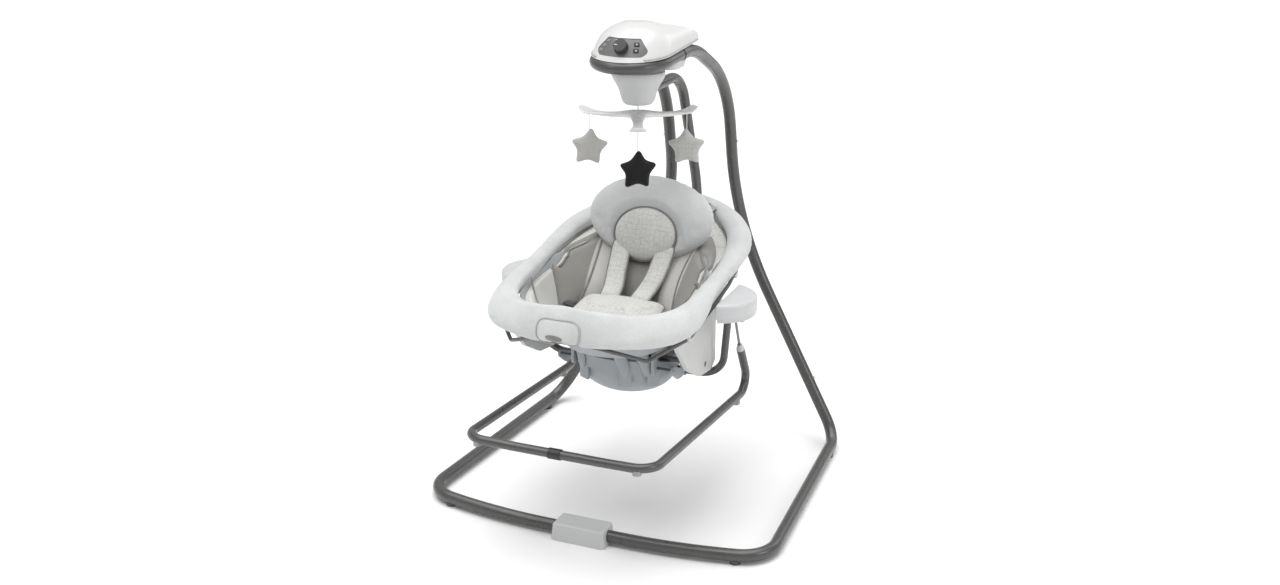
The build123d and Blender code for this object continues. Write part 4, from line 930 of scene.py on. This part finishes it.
class SWING_OT_rim(bpy.types.Operator):
    """Stuff the velour rim cushion and sew its front tag"""

    bl_idname = "swing.rim"
    bl_label = "Rim cushion"

    def execute(self, context):
        sewing = context.scene.swing_sewing
        rim = copy_of_node("rim_cushion", "rim_pad", "seat", "velour")
        remeshed(rim, sewing.voxel)
        inflated(rim, 4.0, 0.006, shrink=-0.01)
        smoothed(rim)
        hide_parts("rim_pad")
        self.add_tag(rim, sewing)
        return {"FINISHED"}

    def add_tag(self, rim, sewing):
        """Bare stitched patch on the front of the rim, framed with pale piping."""
        cloth = surface_of(rim)
        half, low, high = 0.046, 0.472, 0.522
        rows, columns = 14, 22

        def on_front(x, z, proud):
            hit, normal = cloth.ray_cast(Vector((x, -0.60, z)), Vector((0, 1, 0)))[:2]
            if hit is None:
                hit, normal = cloth.find_nearest(Vector((x, -0.42, z)))[:2]
            return hit + normal * proud

        points = []
        for proud in (0.0026, -0.004):
            for row in range(rows):
                for column in range(columns):
                    u, v = 2 * column / (columns - 1) - 1, 2 * row / (rows - 1) - 1
                    pinch = (1 - 0.16 * abs(v) ** 3) if v > 0 else (1 - 0.10 * abs(v) ** 3)
                    crown = 1 - 0.7 * max(abs(u), abs(v)) ** 6
                    points.append(on_front(
                        half * u * pinch, (low + high) / 2 + (high - low) / 2 * v * (1 - 0.22 * abs(u) ** 4),
                        proud * crown if proud > 0 else proud,
                    ))
        faces = grid_faces(rows, columns, wrap=False)
        total = rows * columns
        faces += shifted(faces, total, turned=True)
        edge = [c for c in range(columns)] + [r * columns + columns - 1 for r in range(1, rows)]
        edge += [(rows - 1) * columns + c for c in range(columns - 2, -1, -1)]
        edge += [r * columns for r in range(rows - 2, 0, -1)]
        for index, corner in enumerate(edge):
            following = edge[(index + 1) % len(edge)]
            faces.append((corner, following, following + total, corner + total))
        patch = add_piece("front_tag", points, faces, "seat", "velour")
        smoothed(patch)
        border = [points[corner] for corner in edge]
        tube_piece("front_tag_piping", border, sewing.piping * 0.85, "seat", "pale_piping", True)
        patch_top = surface_of(patch)
        label, count = [], 40
        for share in (1.0, 0.93, 0.0):
            for step in range(count):
                turn = 2 * math.pi * step / count
                x, z = -0.005 + 0.0185 * share * math.cos(turn), 0.487 + 0.0072 * share * math.sin(turn)
                hit, normal = patch_top.ray_cast(Vector((x, -0.60, z)), Vector((0, 1, 0)))[:2]
                label.append(hit + Vector((0, -1, 0)) * (0.0004 if share == 1.0 else 0.0014))
        faces = grid_faces(3, count)
        add_piece("front_tag_label", label, faces, "seat", "piping")


class HeadPillow:
    """Place and sizes of the head pillow, in the frame of its own leaning plane."""

    lean = math.radians(18)
    middle = Vector((0, 0.084, 0.602))
    up = Vector((0, math.sin(lean), math.cos(lean)))
    out = Vector((0, -math.cos(lean), math.sin(lean)))
    half, rise = 0.146, 0.088
    dish_half, dish_rise, dish_drop = 0.071, 0.058, -0.042

    @classmethod
    def point(cls, x, y, z):
        return cls.middle + Vector((x, 0, 0)) + cls.up * y + cls.out * z


class SWING_OT_pillow(bpy.types.Operator):
    """Stuff the oval velour head pillow and the round printed cushion in its middle"""

    bl_idname = "swing.pillow"
    bl_label = "Head pillow"

    def execute(self, context):
        sewing = context.scene.swing_sewing
        place = HeadPillow
        columns, rows = 120, 18
        points = []
        for row in range(rows + 1):
            share = row / rows
            for column in range(columns):
                turn = 2 * math.pi * column / columns
                c, s = math.cos(turn), math.sin(turn)
                bulge = abs(s) ** 0.15
                outer = Vector((place.half * c, place.rise * s * (1.0 if s > 0 else 1.08)))
                inner = Vector((place.dish_half * c, place.dish_drop + place.dish_rise * s))
                flat = inner.lerp(outer, share)
                height = 0.0335 * math.sin(math.pi * min(share * 0.78 + 0.16, 1.0)) ** 0.75 - 0.002
                height *= 0.90 + 0.10 * bulge
                points.append(place.point(flat.x, flat.y, height if share < 1 else 0.0))
        front = grid_faces(rows + 1, columns)
        hub = len(points)
        points.append(place.point(0, place.dish_drop, 0.008))
        front += [((c + 1) % columns, c, hub) for c in range(columns)]
        back = len(points)
        for row in range(7):
            share = 1 - row / 7
            for column in range(columns):
                turn = 2 * math.pi * column / columns
                depth = -0.021 * math.sin(math.pi / 2 * min((1 - share) * 2.2, 1.0))
                points.append(place.point(
                    place.half * math.cos(turn) * share * 0.999,
                    place.rise * math.sin(turn) * share * (0.999 if math.sin(turn) > 0 else 1.079), depth,
                ))
        middle = len(points)
        points.append(place.point(0, 0, -0.021))
        faces = front + shifted(grid_faces(7, columns), back, turned=True)
        edge = rows * columns
        for c in range(columns):
            d = (c + 1) % columns
            faces.append((edge + c, edge + d, back + d, back + c))
            faces.append((back + 6 * columns + c, back + 6 * columns + d, middle))
        pillow = add_piece("head_pillow_cover", points, faces, "seat", "velour")
        remeshed(pillow, sewing.voxel)
        inflated(pillow, 2.5, 0.006, shrink=-0.01)
        smoothed(pillow)
        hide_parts("head_pillow")
        self.add_cushion(sewing)
        return {"FINISHED"}

    def add_cushion(self, sewing):
        place = HeadPillow
        columns, rows = 96, 14
        points, border = [], []
        for side in (1, -1):
            for row in range(rows):
                share = 1 - row / rows
                for column in range(columns):
                    turn = 2 * math.pi * column / columns
                    x = place.dish_half * 1.01 * math.cos(turn) * share
                    y = place.dish_drop + place.dish_rise * 1.01 * math.sin(turn) * share
                    crown = math.sqrt(max(1 - share ** 2.4, 0))
                    height = 0.026 + (0.017 if side > 0 else -0.008) * crown
                    points.append(place.point(x, y, height))
                    if row == 0 and side > 0:
                        border.append(place.point(x * 1.012, y, height))
            points.append(place.point(0, place.dish_drop, 0.026 + (0.017 if side > 0 else -0.008)))
        faces = []
        for base in (0, rows * columns + 1):
            faces += shifted(grid_faces(rows, columns), base)
            faces += fan(base + (rows - 1) * columns, columns, base + rows * columns)
        cushion = add_piece("head_cushion_cover", points, faces, "seat", "print")
        weld(cushion, 1e-4)
        inflated(cushion, 2.0, 0.004)
        smoothed(cushion)
        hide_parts("head_cushion")
        tube_piece("head_cushion_piping", border, sewing.piping, "seat", "piping", True)


def strap_pad(name, route, sideways, width, thickness, piping_radius):
    """Padded strap cover along a route, with piping round its edge."""
    path = rounded_path(route, steps=8)
    columns = 15
    top, bottom, edge_left, edge_right = [], [], [], []
    for index, point in enumerate(path):
        before, after = path[max(index - 1, 0)], path[min(index + 1, len(path) - 1)]
        heading = (after - before).normalized()
        across = (sideways - heading * sideways.dot(heading)).normalized()
        normal = across.cross(heading)
        if normal.dot(HOLLOW_MIDDLE - point) < 0:
            normal = -normal
        share = min(index, len(path) - 1 - index) / 4.0
        narrow = 1.0 if share >= 1 else 0.82 + 0.18 * math.sqrt(share)
        for column in range(columns):
            u = 2 * column / (columns - 1) - 1
            crown = math.sqrt(max(1 - abs(u) ** 3.2, 0)) * (0.35 + 0.65 * min(1.0, share * 0.8 + 0.2))
            place = point + across * (width / 2 * u * narrow)
            top.append(place + normal * thickness / 2 * crown)
            bottom.append(place - normal * thickness / 2 * crown)
        edge_left.append(point - across * width / 2 * narrow)
        edge_right.append(point + across * width / 2 * narrow)
    rows = len(path)
    total = rows * columns
    faces = grid_faces(rows, columns, wrap=False)
    faces += shifted(faces, total, turned=True)
    for start in (0, (rows - 1) * columns):
        for c in range(columns - 1):
            faces.append((start + c, start + c + 1, start + c + 1 + total, start + c + total))
    pad = add_piece(name, top + bottom, faces, "seat", "print")
    weld(pad, 2e-4)
    smoothed(pad)
    border = edge_left + edge_right[::-1]
    tube_piece(f"{name}_piping", border, piping_radius, "seat", "piping", True)
    return pad


class SWING_OT_harness(bpy.types.Operator):
    """Sew the strap covers, the waist pad, its tongue and the webbing"""

    bl_idname = "swing.harness"
    bl_label = "Harness"

    def execute(self, context):
        piping = context.scene.swing_sewing.piping * 0.8
        covers = []
        for side, ending in ((-1, "left"), (1, "right")):
            route = [
                (side * 0.051, 0.044, 0.553), (side * 0.049, 0.022, 0.525), (side * 0.045, -0.008, 0.495),
                (side * 0.039, -0.034, 0.476), (side * 0.035, -0.060, 0.465), (side * 0.034, -0.072, 0.461),
            ]
            covers.append(strap_pad(
                f"strap_cover_{ending}", route, Vector((1, 0, 0)), 0.043, 0.013, piping
            ))
        for cover in covers:
            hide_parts("strap_covers")
        waist = strap_pad(
            "waist_pad_cover",
            [(-0.094, -0.102, 0.442), (-0.060, -0.106, 0.449), (0.0, -0.108, 0.453),
             (0.060, -0.106, 0.449), (0.094, -0.102, 0.442)],
            Vector((0, 1, 0.17)), 0.097, 0.019, piping,
        )
        tongue = strap_pad(
            "waist_tongue",
            [(0, -0.148, 0.445), (0, -0.165, 0.438), (0, -0.182, 0.424), (0, -0.192, 0.404)],
            Vector((1, 0, 0)), 0.052, 0.014, piping,
        )
        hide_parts("waist_pad")
        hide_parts("waist_pad")
        self.add_webbing()
        return {"FINISHED"}

    def add_webbing(self):
        """Waist webbing with its buckle on each side of the waist pad."""
        lining = surface_of(bpy.data.objects["seat_lining"])
        for side, ending in ((-1, "left"), (1, "right")):
            wall = lining.ray_cast(Vector((0, -0.10, 0.452)), Vector((side, 0.05, -0.06)).normalized())[0]
            route = [Vector((side * 0.084, -0.102, 0.441)), Vector((side * 0.100, -0.100, 0.441)), wall]
            points = []
            for point in route:
                for lift, reach in ((-1, -1), (-1, 1), (1, 1), (1, -1)):
                    points.append(point + Vector((0, 0.0115 * reach, 0.0011 * lift)))
            faces = []
            for row in range(len(route) - 1):
                for k in range(4):
                    n = (k + 1) % 4
                    faces.append((row * 4 + k, row * 4 + n, row * 4 + 4 + n, row * 4 + 4 + k))
            faces += [(0, 1, 2, 3), (11, 10, 9, 8)]
            tape = add_piece(f"waist_webbing_{ending}", points, faces, "seat", "webbing")
            bevel = tape.modifiers.new("Edge", "BEVEL")
            bevel.width, bevel.segments = 0.0008, 2
            settle(tape)
            buckle = moulded_block(
                f"waist_buckle_{ending}", (side * 0.0965, -0.101, 0.4405), (0.024, 0.026, 0.0095), 0.0036,
                "seat", "dark",
            )
            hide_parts("waist_buckles")
            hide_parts("waist_buckles")


def moulded_block(name, middle, size, edge, body, finish):
    """Moulded block with generous rounded edges and a slightly crowned top."""
    shape = bmesh.new()
    bmesh.ops.create_cube(shape, size=1.0)
    bmesh.ops.subdivide_edges(shape, edges=shape.edges, cuts=4, use_grid_fill=True)
    for v in shape.verts:
        crown = (1 - (2 * v.co.x) ** 2) * (1 - (2 * v.co.y) ** 2)
        v.co = Vector((v.co.x * size[0], v.co.y * size[1], v.co.z * size[2] * (1 + 0.12 * crown)))
    limit = Vector(size) / 2
    for v in shape.verts:
        core = Vector([max(min(v.co[k], limit[k] - edge), edge - limit[k]) for k in range(3)])
        away = v.co - core
        if away.length > edge:
            v.co = core + away.normalized() * edge
    points = [v.co.copy() for v in shape.verts]
    faces = [tuple(v.index for v in f.verts) for f in shape.faces]
    shape.free()
    points = [Vector(middle) + p for p in points]
    return smoothed(add_piece(name, points, faces, body, finish))


LOBES = ((-0.068, -0.132), (0.034, -0.146), (0.076, -0.127))


class SWING_OT_lobes(bpy.types.Operator):
    """Mould the three fingers of the carrier that hang over the front of the dock"""

    bl_idname = "swing.lobes"
    bl_label = "Carrier fingers"

    def execute(self, context):
        # Down a finger: height, half width, half thickness and sideways slant
        stations = (
            (0.376, 0.0150, 0.0050, 0.017), (0.366, 0.0150, 0.0068, 0.012), (0.350, 0.0142, 0.0078, 0.006),
            (0.336, 0.0125, 0.0072, 0.002), (0.325, 0.0095, 0.0060, 0.000), (0.3185, 0.0055, 0.0040, 0.000),
            (0.3165, 0.0012, 0.0012, 0.000),
        )
        for number, (x, y) in enumerate(LOBES, 1):
            out = Vector((x / 0.112 ** 2, (y + 0.042) / 0.100 ** 2, 0)).normalized()
            across = Vector((-out.y, out.x, 0))
            points = []
            for height, half, thick, slant in stations:
                middle = Vector((x, y, height)) + out * 0.003 - across * slant
                for step in range(16):
                    turn = 2 * math.pi * step / 16
                    points.append(middle + across * half * math.cos(turn) + out * thick * math.sin(turn))
            faces = grid_faces(len(stations), 16) + [tuple(range(16)), tuple(range(96, 112))]
            smoothed(add_piece(
                f"carrier_finger_{number}", points, faces, "bouncer", "blue_grey"
            ), 2)
        return {"FINISHED"}


# ------------------------------------------------------------------ head
def joint_called(name):
    return next(joint for joint in frame["joints"] if joint["name"] == name)


def outer_face(node, normal):
    """Middle of the face of a node that looks along the given direction."""
    places = [v.co.copy() for v in NODES[node].data.vertices]
    reach = max(p.dot(normal) for p in places)
    top = [p for p in places if p.dot(normal) > reach - 0.0004]
    return sum(top, Vector()) / len(top)


def bar_on_face(name, middle, normal, along, size, body, finish):
    """Small raised marking lying on a face."""
    side = normal.cross(along).normalized()
    steps = 6
    outline = []
    radius = size[1] / 2
    for end in (1, -1):
        for step in range(steps + 1):
            angle = -math.pi / 2 + math.pi * step / steps
            x = end * ((size[0] / 2 - radius) + radius * math.cos(angle))
            outline.append((x, end * radius * math.sin(angle)))
    points = []
    for height in (-size[2], size[2]):
        points += [middle + along * x + side * y + normal * height for x, y in outline]
    count = len(outline)
    faces = [tuple(range(count)), tuple(range(2 * count - 1, count - 1, -1))]
    faces += [(k, (k + 1) % count, count + (k + 1) % count, count + k) for k in range(count)]
    piece = add_piece(name, points, faces, body, finish)
    for face in piece.data.polygons:
        face.use_smooth = False
    return piece


class SWING_OT_head(bpy.types.Operator):
    """Trim the head cover and mark its knob and buttons"""

    bl_idname = "swing.head"
    bl_label = "Head trim"

    def execute(self, context):
        cover = surface_of(NODES["housing_cover"])
        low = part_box("housing_cover")[0].z
        slope = 7.0 / 159.0
        path = []
        for step in range(120):
            turn = math.radians(-140 + 280 * step / 119)
            way = Vector((math.sin(turn), -math.cos(turn), 0))
            height = low + 0.0105
            hit = None
            for _ in range(3):
                start = Vector((0, 0.030, height)) + way * 0.30
                hit = cover.ray_cast(start, -way)[0]
                if hit is None:
                    break
                height = 0.9776 + (hit.y - 0.053) * slope + 0.0030
            if hit is not None:
                path.append(hit)
        tube_piece("cover_trim", path, 0.0019, "stand", "trim")
        knob = joint_called("speed_turn")
        normal = Vector(knob["axis"]).normalized()
        pointer = outer_face("speed_knob", normal)
        across = Vector((0, 0, 1)).cross(normal).normalized()
        middle = Vector(knob["pos_m"]) + normal * (normal.dot(pointer - Vector(knob["pos_m"])) + 0.0001)
        bar_on_face(
            "knob_pointer", middle - across * 0.0085, normal, across, (0.0075, 0.0013, 0.0004),
            "knob", "ink",
        )
        for name in ("music", "nature", "timer", "sound", "volume"):
            axis = -Vector(joint_called(f"{name}_press")["axis"]).normalized()
            spot = outer_face(f"{name}_button", axis)
            level = Vector((0, 0, 1)).cross(axis)
            if name in ("music", "nature"):
                along, size, finish, slot = axis.cross(level), (0.0026, 0.0026, 0.0002), "ink", "pale_plastic"
            else:
                along, size, finish, slot = level, (0.0042, 0.0011, 0.0002), "dark", "dark_plastic"
            bar_on_face(f"{name}_mark", spot, axis, along.normalized(), size, name, finish)
        panel = surface_of(NODES["control_panel"])
        lamp = panel.ray_cast(Vector((-0.0135, -0.3, 1.0085)), Vector((0, 1, 0)))
        lamp_up = lamp[1] if lamp[1].y < 0 else -lamp[1]
        bar_on_face(
            "power_lamp", lamp[0], lamp_up, Vector((1, 0, 0)), (0.0026, 0.0026, 0.0007),
            "stand", "ink",
        )
        return {"FINISHED"}


# ------------------------------------------------------------------ stage
class SWING_OT_stage(bpy.types.Operator):
    """Set the pale floor, the soft lights and the camera"""

    bl_idname = "swing.stage"
    bl_label = "Stage"

    def execute(self, context):
        settings = context.scene.swing_stage
        scene = context.scene
        finish = Finish("stage_floor", settings.floor, 0.85)
        finish.set("Base Color", finish.tone(3.0, 0.004))
        ground = bpy.data.meshes.new("floor")
        reach = 14.0
        ground.from_pydata(
            [(-reach, -reach, 0), (reach, -reach, 0), (reach, reach, 0), (-reach, reach, 0)],
            [], [(0, 1, 2, 3)],
        )
        ground.materials.append(finish.material)
        floor = bpy.data.objects.new("floor", ground)
        scene.collection.objects.link(floor)
        world = bpy.data.worlds.new("studio")
        world.use_nodes = True
        world.node_tree.nodes["Background"].inputs["Color"].default_value = (1.0, 1.0, 1.0, 1)
        world.node_tree.nodes["Background"].inputs["Strength"].default_value = 0.46
        scene.world = world
        lights = (
            ("overhead", "SUN", (-0.3, 0.1, 3.5), math.radians(65), 2.75),
            ("key", "AREA", (-1.8, -2.0, 3.0), 1.4, 11.0),
            ("side", "AREA", (2.8, -0.6, 1.6), 1.2, 15.0),
            ("back", "AREA", (1.6, 2.6, 2.2), 1.8, 12.0),
        )
        for name, kind, place, size, power in lights:
            lamp = bpy.data.lights.new(name, kind)
            lamp.energy = power
            if kind == "SUN":
                lamp.angle = size
            else:
                lamp.shape = "DISK"
                lamp.size = size
            source = bpy.data.objects.new(name, lamp)
            source.location = place
            source.rotation_euler = (Vector((0, 0, 0.5)) - Vector(place)).to_track_quat("-Z", "Y").to_euler()
            scene.collection.objects.link(source)
        scene.view_settings.view_transform = "Standard"
        view = bpy.data.cameras.new("camera")
        view.sensor_width = 36.0
        view.lens = settings.focal_length
        view.clip_end = 60.0
        camera = bpy.data.objects.new("camera", view)
        camera.location = settings.camera_at
        camera.rotation_euler = (math.pi / 2 - settings.camera_pitch, 0, settings.camera_turn)
        scene.collection.objects.link(camera)
        scene.camera = camera
        return {"FINISHED"}


# ------------------------------------------------------------------ sidebar and start
OPERATORS = (
    SWING_OT_stage,
    SWING_OT_finishes,
    SWING_OT_mobile,
    SWING_OT_frame_finish,
    SWING_OT_head,
    SWING_OT_lobes,
    SWING_OT_lining,
    SWING_OT_rim,
    SWING_OT_pillow,
    SWING_OT_harness,
)
SETTINGS = (SwingColours, SwingSewing, SwingStage)


class SWING_PT_sidebar(bpy.types.Panel):
    """Steps that finish the swing"""

    bl_idname = "SWING_PT_sidebar"
    bl_label = "Baby swing"
    bl_space_type = "VIEW_3D"
    bl_region_type = "UI"
    bl_category = "Swing"

    def draw(self, context):
        for operator in OPERATORS:
            self.layout.operator(operator.bl_idname)


def register():
    for item in (*SETTINGS, *OPERATORS, SWING_PT_sidebar):
        bpy.utils.register_class(item)
    bpy.types.Scene.swing_colours = PointerProperty(type=SwingColours)
    bpy.types.Scene.swing_sewing = PointerProperty(type=SwingSewing)
    bpy.types.Scene.swing_stage = PointerProperty(type=SwingStage)


def unregister():
    del bpy.types.Scene.swing_stage
    del bpy.types.Scene.swing_sewing
    del bpy.types.Scene.swing_colours
    for item in reversed((*SETTINGS, *OPERATORS, SWING_PT_sidebar)):
        bpy.utils.unregister_class(item)


def main():
    register()
    for operator in OPERATORS:
        group, action = operator.bl_idname.split(".")
        getattr(getattr(bpy.ops, group), action)()


if __name__ == "__main__":
    main()
